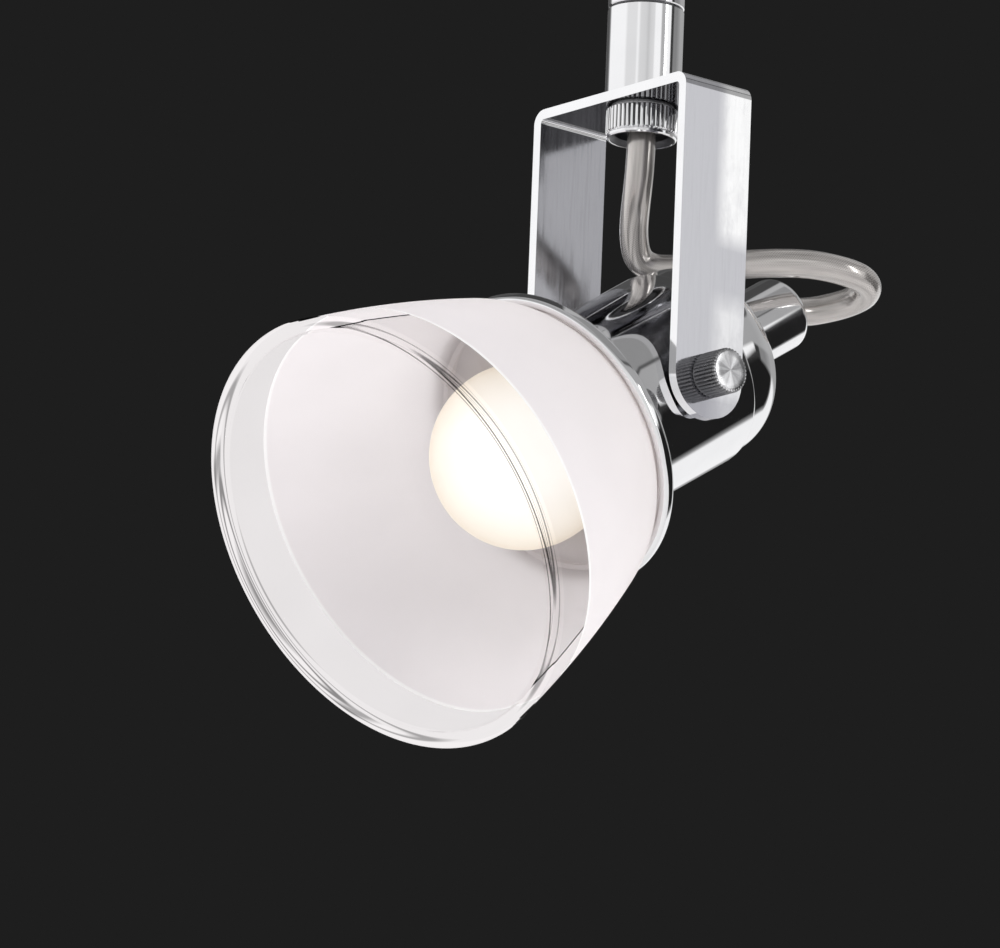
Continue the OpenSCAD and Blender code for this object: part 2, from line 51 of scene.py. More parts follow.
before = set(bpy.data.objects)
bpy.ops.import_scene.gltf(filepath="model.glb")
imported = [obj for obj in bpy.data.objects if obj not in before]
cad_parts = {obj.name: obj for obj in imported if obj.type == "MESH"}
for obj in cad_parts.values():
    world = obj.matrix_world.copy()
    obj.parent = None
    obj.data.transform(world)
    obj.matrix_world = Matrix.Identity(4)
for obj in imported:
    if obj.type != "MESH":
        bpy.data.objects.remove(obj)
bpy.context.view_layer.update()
MM = 0.001

# The tilt axis runs through the round ends of the yoke's arms
_yoke_low, _yoke_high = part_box("yoke_strip")
STRIP_WIDTH = _yoke_high.y - _yoke_low.y
ARM_OUT = _yoke_high.x
WEB_TOP = _yoke_high.z
PIVOT = Vector((0, 0, _yoke_low.z + STRIP_WIDTH / 2))
REST_TILT = math.radians(33)
LAMP_TURN = math.pi / 2 + REST_TILT
AXIS = Vector((0, -math.cos(REST_TILT), -math.sin(REST_TILT)))

ON_STEM = Matrix.Identity(4)
ON_HEAD = Matrix.Translation(PIVOT) @ Matrix.Rotation(LAMP_TURN, 4, "X")
ON_RIGHT = Matrix.Translation(PIVOT) @ Matrix.Rotation(math.pi / 2, 4, "Y")
ON_LEFT = Matrix.Translation(PIVOT) @ Matrix.Rotation(-math.pi / 2, 4, "Y")

# The cable's route from the tilt axis, in millimetres: x to the right, y to the rear, z up
CABLE_POINTS = [
    (0, 0, 94), (0, 0, 80), (0, 0, 68), (-0.2, 0.1, 61), (-1.2, 0.7, 55.5), (-3, 1.8, 51.2),
    (-5.2, 3.3, 47.7), (-7.4, 5, 44.6), (-9.2, 6.8, 41.8), (-10.4, 8.6, 39.5),
    (-10.7, 10.5, 37.8), (-10, 12.4, 36.8), (-8.6, 14.3, 36.3), (-6.3, 16.5, 36.2),
    (-2, 20.2, 36.4), (2.8, 24.4, 36.9), (7, 29.2, 37.6), (10, 34, 38.3), (12.2, 38.8, 38.9),
    (14.1, 43.5, 39.2), (15.7, 48.3, 39.1), (16.8, 53, 38.7), (16.8, 57.5, 38.1),
    (15, 61.2, 37.2), (11.8, 63.2, 36.2), (8.3, 63.1, 35.3), (5.2, 61.5, 34.3),
    (2.8, 58.9, 33.3), (1.1, 55.7, 32.3), (0.3, 52.1, 31.5)]
GRIP_PLACES = (-56.5, -49.5, -40.5, -26.5)

# The collar's thread: turns, how far along a turn its crests and its root lie, the gap round
# the root, and the bevel at its mouth
THREAD_TURNS = 9
THREAD_TURN = ((0.12, "crest"), (0.5, "root"), (0.88, "crest"))
THREAD_GAP, THREAD_BEVEL = 0.04 * MM, 0.6 * MM
LUG_ARC = math.radians(12)
# Knurls: how far they stop short of the nut's base and top and of a knob's two ends
NUT_PLAIN_BASE, NUT_PLAIN_TOP, KNOB_PLAIN = 1.6 * MM, 0.15 * MM, 0.6 * MM
# Inside this radius the nut's faces are its dark hollow
NUT_HOLLOW = 7.7 * MM
# A thumb screw's tip: its bevel, and the small ring that is closed last
TIP_BEVEL, TIP_HOLE = 0.4 * MM, 0.05 * MM
# How near to a surface a face's middle counts as part of it, and how far it may lean
NEAR, LEANING, LEVEL = 0.05 * MM, 0.3, 0.5
# How much of the strip's half width a foot's round takes, and its segments
FOOT_ROUND, FOOT_SEGMENTS = 0.9999, 24
# In millimetres: where the painted shade on the yoke's feet starts and ends below the tilt axis,
# and where the painted bright line along the frost's border starts and ends below that border
FOOT_PAINTED_SHADE, FROST_PAINTED_LINE = (6, 3), (0.9, 0.5)
# Colour of the painted shade on the yoke's feet
FOOT_PAINTED_SHADE_TINT = (0.70, 0.70, 0.72)
# Rolled rim: how far in its middle lies, its gap to the gallery, and where the flare meets it
RIM_IN, RIM_GAP, RIM_MEETS = 0.75 * MM, 0.25 * MM, 0.5 * MM
# Bevels of small and larger edges, and the gap of a sliding fit
FINE_BEVEL, BEVEL, FIT = 0.15 * MM, 0.3 * MM, 0.06 * MM
# Rounds of the glass's floor outside and inside, and points across its flat shelf
FLOOR_ROUND, FLOOR_ROUND_INSIDE, SHELF_POINTS = 1.2 * MM, 2.6 * MM, (0.35, 0.8)
# How far down the bulb's round goes before its neck, as a part of its radius
BULB_NECK = 0.68

# Turned edges of the nut and the thumb screws, in millimetres: in from the outside, up from a
# level, and whether the ridges end there. NUT_MOUTH is measured from the axis instead
NUT_TOP = ((0.1, -0.05, False), (0.5, 0, True))
NUT_SKIRT = (
    (0.4, 1.25, False), (0.62, 1.2, True), (0.25, 0.95, False), (0.25, 0.35, False),
    (0.5, 0.05, False), (0.62, 0, False))
NUT_MOUTH = ((7.95, 0), (7.8, 0.1), (6.75, 1.15), (6.6, 1.4), (6.6, 3))
KNOB_TOP = ((0.3, -0.3, False), (0.75, -0.05, True), (0.95, 0, False))
KNOB_FOOT = ((0.35, 0.35, False), (0.55, 0.3, True), (0.5, 0, False))
# Rings across a thumb screw's end, as parts of its radius
KNOB_RINGS = (0.6, 0.3, 0.01)

# Two painted highlight patches on the yoke's arms, where white is mixed into the strip's colour, in
# millimetres: y where the patch starts and is full, z between which it changes, its strength at
# those two, and how bright it gets
PAINTED_HIGHLIGHT_PATCHES = ((0, 4, -81, -76, 0, 1, 1.0), (-1, 4, -97, -91, 1, 0, 0.6))

# Painted refraction on the glass's round lip, from its middle to its edge: a bright rod with dark
# lines
LIP_PAINTED_LINES = (
    (0, 1.0), (0.06, 1.0), (0.083, 0.3), (0.105, 0.3), (0.135, 1.0), (0.23, 1.0), (0.265, 0.45),
    (0.29, 0.45), (0.33, 1.0))

# Finishes of the pieces that keep their own shape: colour, roughness, the grain's scale and
# depth, coat, how metallic, and the nodes that have it
NICKEL = (0.62, 0.61, 0.58)
PLAIN_FINISHES = {
    "dark_steel": ("dark", 0.35, 900, 0.05, 0, 1, ("swivel_nipple", "stop_pin", "swivel_washer")),
    # The spring washer is plated; its pale, mostly non-metallic colour is also painted light that
    # lifts the shade in its narrow gap under the nut
    "plated_spring": ((0.80, 0.80, 0.81), 0.3, 900, 0.05, 0, 0.3, ("spring_washer",)),
    "zinc_steel": ("zinc", 0.32, 350, 0.06, 0, 1, ("holder_bracket", "earth_tag")),
    "brass": ("brass", 0.28, 500, 0.05, 0, 1,
              ("gland_locknut", "screw_shell", "centre_contact", "terminals", "earth_screw")),
    "fibre_left": ("fibre", 0.7, 1200, 0.1, 0, 0, ("left_friction_washer",)),
    "fibre_right": ("fibre", 0.7, 1200, 0.1, 0, 0, ("right_friction_washer",)),
    "collet_rubber": ((0.30, 0.30, 0.31), 0.6, 900, 0.08, 0, 0, ("gland_insert",)),
    "lampholder_moulding": ("phenolic", 0.45, 600, 0.06, 0.15, 0, ("lampholder",)),
    "ring_moulding": ("phenolic", 0.4, 600, 0.06, 0.15, 0, ("shade_ring",)),
    "black_glass": ((0.02, 0.02, 0.022), 0.12, 300, 0.02, 0.5, 0, ("bulb_insulator",)),
    "mount_glass": ((0.75, 0.77, 0.78), 0.1, 300, 0.02, 0, 0, ("filament_mount",)),
    "core_brown": ((0.18, 0.07, 0.03), 0.38, 500, 0.04, 0.2, 0, ("live_wire",)),
    "core_blue": ((0.03, 0.12, 0.42), 0.38, 500, 0.04, 0.2, 0, ("neutral_wire",)),
    "core_green": ((0.16, 0.38, 0.04), 0.38, 500, 0.04, 0.2, 0, ("earth_wire",)),
}

# Softboxes: place and size in metres, power in watts, and whether bright metal mirrors them
LAMPS = {
    "key_strip": ((-1.06, -1.77, 0.62), (0.5, 1.5), 22, False),
    "rim_strip": ((2.0, 0.95, 0.45), (0.2, 1.2), 4, True),
    "top_box": ((0.4, -0.6, 2.1), (1.2, 1.2), 10, False),
}

# Brightness of the studio's tent round the lamp, by degrees from the front to the right
TENT_MIDDLE = (
    (-180, 0.40), (-150, 0.38), (-128, 0.34), (-118, 0.07), (-92, 0.10), (-84, 0.30), (-78, 1.0),
    (-14, 1.0), (-6, 0.80), (22, 0.80), (28, 1.0), (35, 0.74), (52, 0.70), (59, 0.60), (66, 0.70),
    (76, 0.76), (80, 1.0), (97, 1.0), (101, 0.45), (110, 0.45), (114, 1.0), (132, 1.0),
    (135, 0.04), (143, 0.04), (146, 0.24), (160, 0.24), (180, 0.38))
TENT_LOWER = (
    (-180, 0.30), (-177, 0.95), (-141, 0.95), (-134, 0.10), (-92, 0.06), (-80, 0.30), (-70, 1.0),
    (-8, 1.0), (6, 0.80), (104, 0.72), (112, 0.55), (117, 0.9), (128, 0.75), (131, 0.012),
    (176, 0.012), (180, 0.30))
TENT_SHOULDER = (
    (-180, 0.45), (-145, 0.43), (-137, 0.08), (-100, 0.08), (-90, 0.40), (150, 0.38), (180, 0.45))
TENT_UPPER = (
    (-180, 0.45), (-150, 0.43), (-140, 0.06), (-62, 0.06), (-50, 0.40), (60, 0.40), (70, 0.28),
    (150, 0.28), (158, 0.45), (180, 0.45))
TENT_SEAM = ((-180, 0.10), (180, 0.10))
# Walls above the lowest one: between which angles over the horizon each takes over
TENT_WALLS = (
    (TENT_MIDDLE, 6, 10), (TENT_SHOULDER, 18, 21), (TENT_SEAM, 42, 44), (TENT_UPPER, 45, 47))
# Share of red and green in the tent's light, and the light that falls on matt pieces
TENT_TINT = 0.995
ROOM_LIGHT = (0.97, 0.96, 0.98, 1)


# ---------------------------------------------------------------- sizes and colours


def length(name, description, millimetres, low=0.1, high=400.0):
    """A size that is typed in millimetres and kept in metres."""
    return bpy.props.FloatProperty(name=name, description=description, unit="LENGTH",
                                   default=millimetres * MM, min=low * MM, max=high * MM)


def colour(name, description, rgb):
    return bpy.props.FloatVectorProperty(name=name, description=description, size=3,
                                         subtype="COLOR", default=rgb, min=0, max=1)


def share(name, description, value):
    return bpy.props.FloatProperty(name=name, description=description, subtype="FACTOR",
                                   default=value, min=0, max=1)


def count(name, description, value):
    return bpy.props.IntProperty(name=name, description=description, default=value, min=12,
                                 max=90)


def metres(name, description, value):
    return bpy.props.FloatProperty(name=name, description=description, default=value,
                                   unit="LENGTH", min=0.2)


def angle(name, description, degrees):
    return bpy.props.FloatProperty(name=name, description=description, subtype="ANGLE",
                                   default=math.radians(degrees))


def number(name, description, value):
    return bpy.props.FloatProperty(name=name, description=description, default=value, min=1)


class SpotlightStemSizes(bpy.types.PropertyGroup):
    """Collar, sleeve and the nut under the yoke"""
    diameter: length("Stem diameter", "Outside diameter of the collar and the sleeve", 18.5)
    collar: length("Collar length", "Length of the fixed collar", 16)
    seam: length("Seam", "Gap between the collar and the sleeve", 0.5)
    bore: length("Bore", "Diameter of the hole that the swivel nipple fills", 10.12)
    thread: length("Thread", "Diameter over the female thread's crests", 9)
    thread_pitch: length("Thread pitch", "Distance between two turns of the thread", 1)
    groove: length("Groove", "Width of the groove for the stop pin", 2.12)
    groove_depth: length("Groove depth", "Depth of the groove for the stop pin", 2.5)
    edge: length("Edge", "Width of the small bevel on turned edges", 0.25)
    nut: length("Nut diameter", "Diameter over the nut's knurl", 17.6)
    nut_ridges: count("Nut ridges", "Number of ridges round the nut", 44)
    ridge: length("Ridge height", "Height of a knurl ridge", 0.4)


class SpotlightYokeSizes(bpy.types.PropertyGroup):
    """Bent strip and the two thumb screws"""
    thickness: length("Strip thickness", "Thickness of the yoke's strip", 2.5)
    bend: length("Bend radius", "Inside radius of the two bends", 1)
    edge: length("Strip edge", "Roundness of the strip's long edges", 0.45)
    knob: length("Knob diameter", "Diameter of a thumb screw's grip", 11)
    knob_height: length("Knob height", "Height of a thumb screw's head", 8)
    knob_ridges: count("Knob ridges", "Number of ridges round a thumb screw", 36)
    ridge: length("Ridge height", "Height of a thumb screw's ridge", 0.4)
    shank: length("Screw shank", "Diameter of the thumb screw's shank", 4)
    stem_hole: length("Stem hole", "Diameter of the hole in the yoke's web", 10.12)
    screw_hole: length("Screw hole", "Diameter of the hole in each arm", 4.12)
    shank_end: length("Shank end", "Distance from the middle to the shank's end", 17.2)


class SpotlightHeadSizes(bpy.types.PropertyGroup):
    """Housing, rear cap and cord grip, along the lamp's own axis"""
    housing: length("Housing diameter", "Outside diameter of the housing", 50)
    rear: length("Housing rear", "From the tilt axis back to the housing's rear edge", 17)
    sheet: length("Sheet", "Sheet thickness of the housing", 1.2)
    gallery: length("Gallery", "From the tilt axis forward to the back of the gallery", 27.5)
    flare: length("Flare radius", "Radius of the flare up to the gallery", 12)
    rim: length("Rim", "Thickness of the rolled rim", 2.5)
    rim_flat: length("Rim flat", "Straight length between the rim's two rounds", 1.1)
    cap_step: length("Cap step", "How far the rear cap is set in", 1)
    cap_side: length("Cap side", "Straight side of the rear cap", 4)
    cap_round: length("Cap round", "Radius of the rear cap's shoulder", 12)
    cap_wall: length("Cap wall", "Wall of the rear cap", 1.5)
    axle_hole: length("Axle hole", "Diameter of the housing's holes for the screws", 4.6)
    washer_seat: length("Washer seat", "Diameter of the flat for each washer", 11.6)
    grip: length("Grip diameter", "Outside diameter of the cord grip", 18.3)
    grip_length: length("Grip length", "Length of the cord grip behind the cap", 23.5)
    grip_round: length("Grip round", "Radius of the cord grip's outer edge", 2.5)
    grip_mouth: length("Grip mouth", "Diameter of the cord grip's mouth", 11.2)
    grip_seat: length("Grip seat", "Depth of that mouth", 14)
    grip_hole: length("Grip hole", "Diameter of the cord grip's narrow hole", 6.6)
    grip_tail: length("Grip tail", "Diameter of the thread inside the cap", 9.8)
    grip_tail_length: length("Grip tail length", "Length of that thread", 6)
    cap_hole: length("Cap hole", "Diameter of the rear cap's hole", 9.86)
    spigot: length("Spigot", "How far the cap reaches into the housing", 5)


class SpotlightGlassSizes(bpy.types.PropertyGroup):
    """Bell glass and bulb, along the lamp's own axis"""
    mouth: length("Mouth diameter", "Outside diameter at the mouth", 110)
    mouth_front: length("Mouth place", "From the tilt axis forward to the mouth", 91.5)
    wall: length("Glass thickness", "Thickness of the glass", 3.2)
    lip: length("Lip", "Diameter of the round lip", 3.9)
    shoulder: length("Shoulder radius", "Radius of the glass at its shoulder", 41.3)
    shoulder_front: length("Shoulder place", "From the tilt axis forward to it", 42)
    shoulder_round: length("Shoulder round", "Radius of the shoulder's curve", 32)
    bell_round: length("Bell round", "Radius of the bell's long curve", 314, 100, 900)
    neck: length("Neck radius", "Radius of the neck inside the housing", 23.2)
    seat: length("Seat", "From the tilt axis forward to the glass's floor", 5.2)
    hole: length("Hole radius", "Radius of the hole for the lampholder", 14.3)
    clear_band: length("Clear band", "Width of the clear band at the mouth", 16.2)
    bulb: length("Bulb diameter", "Diameter of the bulb", 45)
    bulb_front: length("Bulb place", "From the tilt axis forward to the bulb's middle", 40)
    bulb_foot: length("Bulb foot", "Radius of the bulb's glass in its cap", 8.2)
    bulb_foot_front: length("Bulb foot place", "From the tilt axis to that foot", 9.5)
    bulb_wall: length("Bulb wall", "Thickness of the bulb's glass", 0.8)


class SpotlightCableSizes(bpy.types.PropertyGroup):
    """Cable from the stem to the cord grip"""
    diameter: length("Cable diameter", "Diameter over the clear sheath", 7)
    length: length("Cable length", "Length along the route", 180, 30, 1000)


class SpotlightColours(bpy.types.PropertyGroup):
    """Colours and finishes"""
    chrome: colour("Chrome", "Colour of the chrome plate", (0.92, 0.92, 0.93))
    satin: colour("Polished strip", "Colour of the yoke's outside", (0.57, 0.57, 0.60))
    # The yoke's inside colour is darker than its outside as painted shade
    inner: colour("Yoke inside", "Colour of the yoke's duller inside", (0.40, 0.40, 0.425))
    screw: colour("Screw steel", "Colour of the thumb screws", (0.60, 0.60, 0.61))
    dark: colour("Dark steel", "Colour of springs and washers", (0.12, 0.12, 0.125))
    zinc: colour("Zinc", "Colour of the zinc-plated bracket", (0.55, 0.58, 0.62))
    brass: colour("Brass", "Colour of the brass parts", (0.72, 0.52, 0.24))
    fibre: colour("Fibre", "Colour of the friction washers", (0.05, 0.05, 0.055))
    phenolic: colour("Lampholder", "Colour of the lampholder", (0.78, 0.77, 0.72))
    frost: colour("Frosted glass", "Colour of the frosted glass", (0.90, 0.872, 0.882))
    clear: colour("Clear glass", "Tint of the clear glass", (0.95, 0.945, 0.945))
    bulb: colour("Bulb glass", "Colour of the bulb's coating", (0.95, 0.93, 0.88))
    glow: colour("Bulb glow", "Colour of the bulb's light at its rim", (1.0, 0.87, 0.70))
    core: colour("Cable core", "Colour of the cable's braided core", (0.56, 0.53, 0.505))
    frosting: share("Frosting", "How matt the frosted glass is", 0.55)
    brushing: share("Brushing", "Roughness of the polished strip", 0.09)
    lit_through: share("Lit through", "How much light the frosted glass lets through", 0.57)
    bending: number("Clear glass bending", "How strongly clear glass bends light", 1.003)


class SpotlightStudio(bpy.types.PropertyGroup):
    """Camera, lamps and surroundings"""
    azimuth: angle("Camera azimuth", "Camera's turn from the front to the right", 50)
    elevation: angle("Camera elevation", "Camera's angle over the horizon", -14.5)
    roll: angle("Camera roll", "Camera's turn about its own line of sight", 2.26)
    distance: metres("Camera distance", "Distance from the tilt axis", 3.378)
    lens: number("Lens", "Focal length in millimetres", 504.5)
    sensor: number("Sensor", "Sensor width in millimetres", 36)
    aside: length("Aim aside", "How far the aim is moved to the left", 31.8)
    below: length("Aim below", "How far the aim is moved down", 18.9)
    backdrop: colour("Backdrop", "Colour behind the lamp", (0.013, 0.013, 0.013))
    through: colour("Seen through glass", "Colour behind clear glass", (0.90, 0.88, 0.885))
    floor_size: metres("Floor radius", "Radius of the round floor", 5.6)
    floor_drop: metres("Floor drop", "How far the floor lies below the stem's top", 2.3)
    floor: colour("Floor", "Colour of the floor", (0.80, 0.80, 0.79))


GROUPS = {
    "spotlight_stem": SpotlightStemSizes, "spotlight_yoke": SpotlightYokeSizes,
    "spotlight_head": SpotlightHeadSizes, "spotlight_glass": SpotlightGlassSizes,
    "spotlight_cable": SpotlightCableSizes, "spotlight_colours": SpotlightColours,
    "spotlight_studio": SpotlightStudio,
}


# ---------------------------------------------------------------- workshop

# Points closer than this are merged, and places closer than this count as one, in metres
MERGE = 2e-6
SAME = 1e-6


def clear_selection():
    if bpy.context.object is not None and bpy.context.object.mode != "OBJECT":
        bpy.ops.object.mode_set(mode="OBJECT")
    bpy.ops.object.select_all(action="DESELECT")


def take(piece):
    """Makes a piece the only selected one, and active."""
    clear_selection()
    piece.select_set(True)
    bpy.context.view_layer.objects.active = piece


def start_piece(name):
    """Names the object that was just made and opens its mesh."""
    piece = bpy.context.object
    piece.name = piece.data.name = name
    bpy.ops.object.transform_apply(location=True, rotation=True, scale=True)
    bpy.ops.object.mode_set(mode="EDIT")
    return piece


def finish_piece(merge=MERGE, smooth=None):
    """Merges what meets in the open mesh, turns its faces outwards and closes it."""
    bpy.ops.mesh.select_all(action="SELECT")
    if merge:
        bpy.ops.mesh.remove_doubles(threshold=merge)
    bpy.ops.mesh.normals_make_consistent(inside=False)
    bpy.ops.object.mode_set(mode="OBJECT")
    if smooth:
        bpy.ops.object.shade_smooth_by_angle(angle=math.radians(smooth))


def extrude(x, y, z):
    bpy.ops.mesh.extrude_region_move(TRANSFORM_OT_translate={"value": (x, y, z)})


def apply_modifier(piece, kind, **settings):
    modifier = piece.modifiers.new(kind, kind)
    for key, value in settings.items():
        setattr(modifier, key, value)
    take(piece)
    bpy.ops.object.modifier_apply(modifier=modifier.name)


def round_off(radius, height, bend, start, end, steps=10):
    """Points of an outline along a round, from one angle to another in degrees."""
    angles = [math.radians(start + (end - start) * i / steps) for i in range(steps + 1)]
    return [(radius + bend * math.cos(a), height + bend * math.sin(a)) for a in angles]


def turn_on_lathe(name, outline, steps=144, sweep=2 * math.pi, smooth=15):
    """Draws a closed outline of radius and height point by point and spins it about Z."""
    clear_selection()
    bpy.ops.mesh.primitive_plane_add(size=MM)
    piece = start_piece(name)
    bpy.ops.mesh.merge(type="CENTER")
    bpy.ops.transform.translate(value=(outline[0][0], 0, outline[0][1]))
    for last, point in zip(outline, outline[1:] + outline[:1]):
        extrude(point[0] - last[0], 0, point[1] - last[1])
    bpy.ops.mesh.select_all(action="SELECT")
    bpy.ops.mesh.remove_doubles(threshold=MERGE)
    bpy.ops.mesh.select_all(action="SELECT")
    bpy.ops.mesh.spin(steps=steps, angle=sweep, center=(0, 0, 0), axis=(0, 0, 1))
    if abs(sweep - 2 * math.pi) > SAME:
        bpy.ops.mesh.select_all(action="SELECT")
        bpy.ops.mesh.remove_doubles(threshold=MERGE)
        bpy.ops.mesh.select_all(action="DESELECT")
        bpy.ops.mesh.select_non_manifold()
        bpy.ops.mesh.edge_face_add()
    finish_piece(smooth=smooth)
    return piece


def select_parts(piece, kind, wanted):
    """In edit mode, selects the vertices, edges or faces that pass the test."""
    mesh = bmesh.from_edit_mesh(piece.data)
    mesh.verts.ensure_lookup_table()
    mesh.select_mode = {kind}
    for part in (mesh.faces, mesh.edges, mesh.verts):
        for item in part:
            item.select = False
    for item in {"VERT": mesh.verts, "EDGE": mesh.edges, "FACE": mesh.faces}[kind]:
        item.select = wanted(item)
    mesh.select_flush_mode()
    bmesh.update_edit_mesh(piece.data)


def next_ring(radius, height, was, rounded=False):
    """Extrudes the selected ring to a new radius and height, and returns them."""
    extrude(0, 0, height - was[1])
    if rounded:
        bpy.ops.transform.tosphere(value=1.0)
        mesh = bmesh.from_edit_mesh(bpy.context.object.data)
        picked = next(v for v in mesh.verts if v.select)
        was = (math.hypot(picked.co.x, picked.co.y), height)
    scale = radius / was[0]
    bpy.ops.transform.resize(value=(scale, scale, 1), center_override=(0, 0, height))
    return radius, height


def knurled_turning(name, ridges, radius, depth, low, high, above, below):
    """A straight knurl between two heights, six points to a ridge. Above and below are the
    rings that finish it: radius, height, and whether the ridges end there."""
    clear_selection()
    bpy.ops.mesh.primitive_circle_add(vertices=ridges * 6, radius=radius, location=(0, 0, high))
    piece = start_piece(name)
    for places, sunk in (((3,), depth), ((2, 4), depth * 0.35)):
        shrink = (radius - sunk) / radius
        select_parts(piece, "VERT", lambda v: v.index % 6 in places)
        bpy.ops.transform.resize(value=(shrink, shrink, 1), center_override=(0, 0, high))
    bpy.ops.mesh.select_all(action="SELECT")
    was = (radius, high)
    for ring in above:
        was = next_ring(*ring[:2], was, ring[2])
    select_parts(piece, "VERT", lambda v: abs(v.co.z - high) < SAME / 10
                 and math.hypot(v.co.x, v.co.y) > radius - depth - SAME)
    was = next_ring(radius, low, (radius, high))
    for ring in below:
        was = next_ring(*ring[:2], was, ring[2])
    finish_piece(smooth=20)
    return piece


def close_end(piece, height, radius):
    """Closes the small ring at a height with one face."""
    take(piece)
    bpy.ops.object.mode_set(mode="EDIT")
    select_parts(piece, "VERT", lambda v: abs(v.co.z - height) < SAME / 10
                 and math.hypot(v.co.x, v.co.y) < radius)
    bpy.ops.mesh.edge_face_add()
    finish_piece(merge=0)


def cut_with(piece, *tools):
    """Cuts tools out of a piece and removes them."""
    for tool in tools:
        apply_modifier(piece, "BOOLEAN", operation="DIFFERENCE", solver="EXACT", object=tool)
        bpy.data.objects.remove(tool)


def drill(radius, start, end, placed, sides=64):
    """A cutting tool: a plain rod along the placed frame's Z."""
    clear_selection()
    bpy.ops.mesh.primitive_cylinder_add(vertices=sides, radius=radius, depth=end - start,
                                        location=(0, 0, (start + end) / 2))
    tool = bpy.context.object
    bpy.ops.object.transform_apply(location=True)
    tool.data.transform(placed)
    return tool


def put(piece, placed):
    """Moves a finished piece to its place and leaves its object at the origin."""
    take(piece)
    piece.matrix_world = placed
    bpy.ops.object.transform_apply(location=True, rotation=True, scale=True)
    return piece


def hand_over(piece, body, nodes, finish, *materials):
    """Gives a piece its materials and its body, and hides the packed nodes that it stands for."""
    piece.data.materials.clear()
    for material in materials:
        piece.data.materials.append(material)
    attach(piece, body)
    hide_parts(*nodes)


def lay_map(piece, name, spots, as_uv):
    """Lays a map on a piece from each vertex's turn and a second number. A face across the
    seam of the turn is carried past it."""
    layer = piece.data.uv_layers.new(name=name)
    for face in piece.data.polygons:
        corners = [spots[piece.data.loops[i].vertex_index] for i in face.loop_indices]
        turns = [turn for turn, other in corners]
        over = max(turns) - min(turns) > math.pi
        for i, (turn, other) in zip(face.loop_indices, corners):
            layer.data[i].uv = as_uv(turn + 2 * math.pi if over and turn < 0 else turn, other)


# ---------------------------------------------------------------- finishes

WHITE = (1, 1, 1)


def feed(made, socket, value):
    """Links an input to a node's output, or gives it a plain value."""
    if isinstance(value, bpy.types.NodeSocket):
        made.node_tree.links.new(value, socket)
    elif value is not None:
        socket.default_value = value


def add(made, kind, *fed, **settings):
    """A new shader node. Plain arguments feed its inputs in order; named ones are its own
    settings or feed the input of that name."""
    node = made.node_tree.nodes.new("ShaderNode" + kind)
    for key, value in settings.items():
        if hasattr(node, key):
            setattr(node, key, value)
        else:
            feed(made, node.inputs[key.replace("_", " ")], value)
    for socket, value in zip(node.inputs, fed):
        feed(made, socket, value)
    return node


def reckon(made, operation, *values):
    return add(made, "Math", *values, operation=operation).outputs[0]


def blend(made, factor, low, high, blend_type="MIX"):
    """A mix of two colours."""
    return add(made, "MixRGB", factor, low, high, blend_type=blend_type).outputs[0]


def material(name, kind="BsdfPrincipled", **inputs):
    """A fresh material whose output shows one shader."""
    made = bpy.data.materials.new(name)
    made.use_nodes = True
    made.node_tree.nodes.clear()
    shader = add(made, kind, **inputs)
    add(made, "OutputMaterial", shader.outputs[0])
    return made, shader


def set_inputs(made, shader, **inputs):
    for key, value in inputs.items():
        feed(made, shader.inputs[key.replace("_", " ")], value)


def place_of(made, placed=None, stretch=(1, 1, 1)):
    """Object coordinates in metres, turned into a piece's own frame and stretched."""
    where = add(made, "TexCoord").outputs["Object"]
    if placed is not None:
        back = placed.inverted()
        where = add(made, "Mapping", where, Location=back.translation,
                    Rotation=back.to_euler()).outputs[0]
    return add(made, "Mapping", where, Scale=stretch).outputs[0]


def axis_of(made, where, axis):
    return add(made, "SeparateXYZ", where).outputs[axis]


def noise(made, vector, scale, detail=3.0, rough=0.5):
    return add(made, "TexNoise", Vector=vector, Scale=scale, Detail=detail,
               Roughness=rough).outputs["Fac"]


def between(made, factor, low, high, from_low=0.3, from_high=0.7):
    """A number that runs between two values as the factor does."""
    return add(made, "MapRange", Value=factor, From_Min=from_low, From_Max=from_high,
               To_Min=low, To_Max=high).outputs[0]


def ramp(made, factor, stops):
    """A colour that follows the factor: pairs of a place from 0 to 1 and a colour."""
    node = add(made, "ValToRGB", factor)
    points = node.color_ramp.elements
    points.remove(points[1])
    for k, (spot, rgb) in enumerate(stops):
        point = points[0] if k == 0 else points.new(spot)
        point.position = spot
        point.color = (*rgb, 1)
    return node.outputs[0]


def tint(made, factor, low, high, from_low=0.3, from_high=0.7):
    """A colour that runs between two colours as the factor does."""
    return ramp(made, factor, ((from_low, low), (from_high, high)))


def scaled(rgb, by):
    return tuple(min(1.0, c * by) for c in rgb)


def bump(made, shader, height, strength, distance=0.0001):
    node = add(made, "Bump", Strength=strength, Distance=distance, Height=height)
    set_inputs(made, shader, Normal=node.outputs[0])


def plate(name, rgb, roughness, placed=None, wave=0.02):
    """Bright plated metal: hardly any roughness, a faint haze and tiny waves in the polish."""
    made, shader = material(name, Metallic=1)
    where = place_of(made, placed)
    haze = noise(made, where, scale=90, detail=4)
    set_inputs(made, shader, Base_Color=tint(made, haze, scaled(rgb, 0.95), rgb),
               Roughness=between(made, haze, roughness, roughness * 1.8))
    bump(made, shader, noise(made, where, scale=45, detail=1), wave, distance=0.0004)
    return made


def brushed(name, rgb, roughness, stretch, placed=None, low=0.90, high=1.06):
    """Polished metal with long fine scratches one way and a broad haze over them."""
    made, shader = material(name, Metallic=1)
    fine = noise(made, place_of(made, placed, stretch), scale=1400, detail=4, rough=0.6)
    wide = tuple(s * 0.3 for s in stretch)
    broad = noise(made, place_of(made, placed, wide), scale=260, rough=0.6)
    both = reckon(made, "ADD", fine, broad)
    set_inputs(made, shader,
               Base_Color=tint(made, both, scaled(rgb, low), scaled(rgb, high), 0.75, 1.0),
               Roughness=between(made, both, roughness * 0.7, roughness * 1.4, 0.8, 1.2))
    bump(made, shader, fine, strength=0.05, distance=0.00005)
    return made


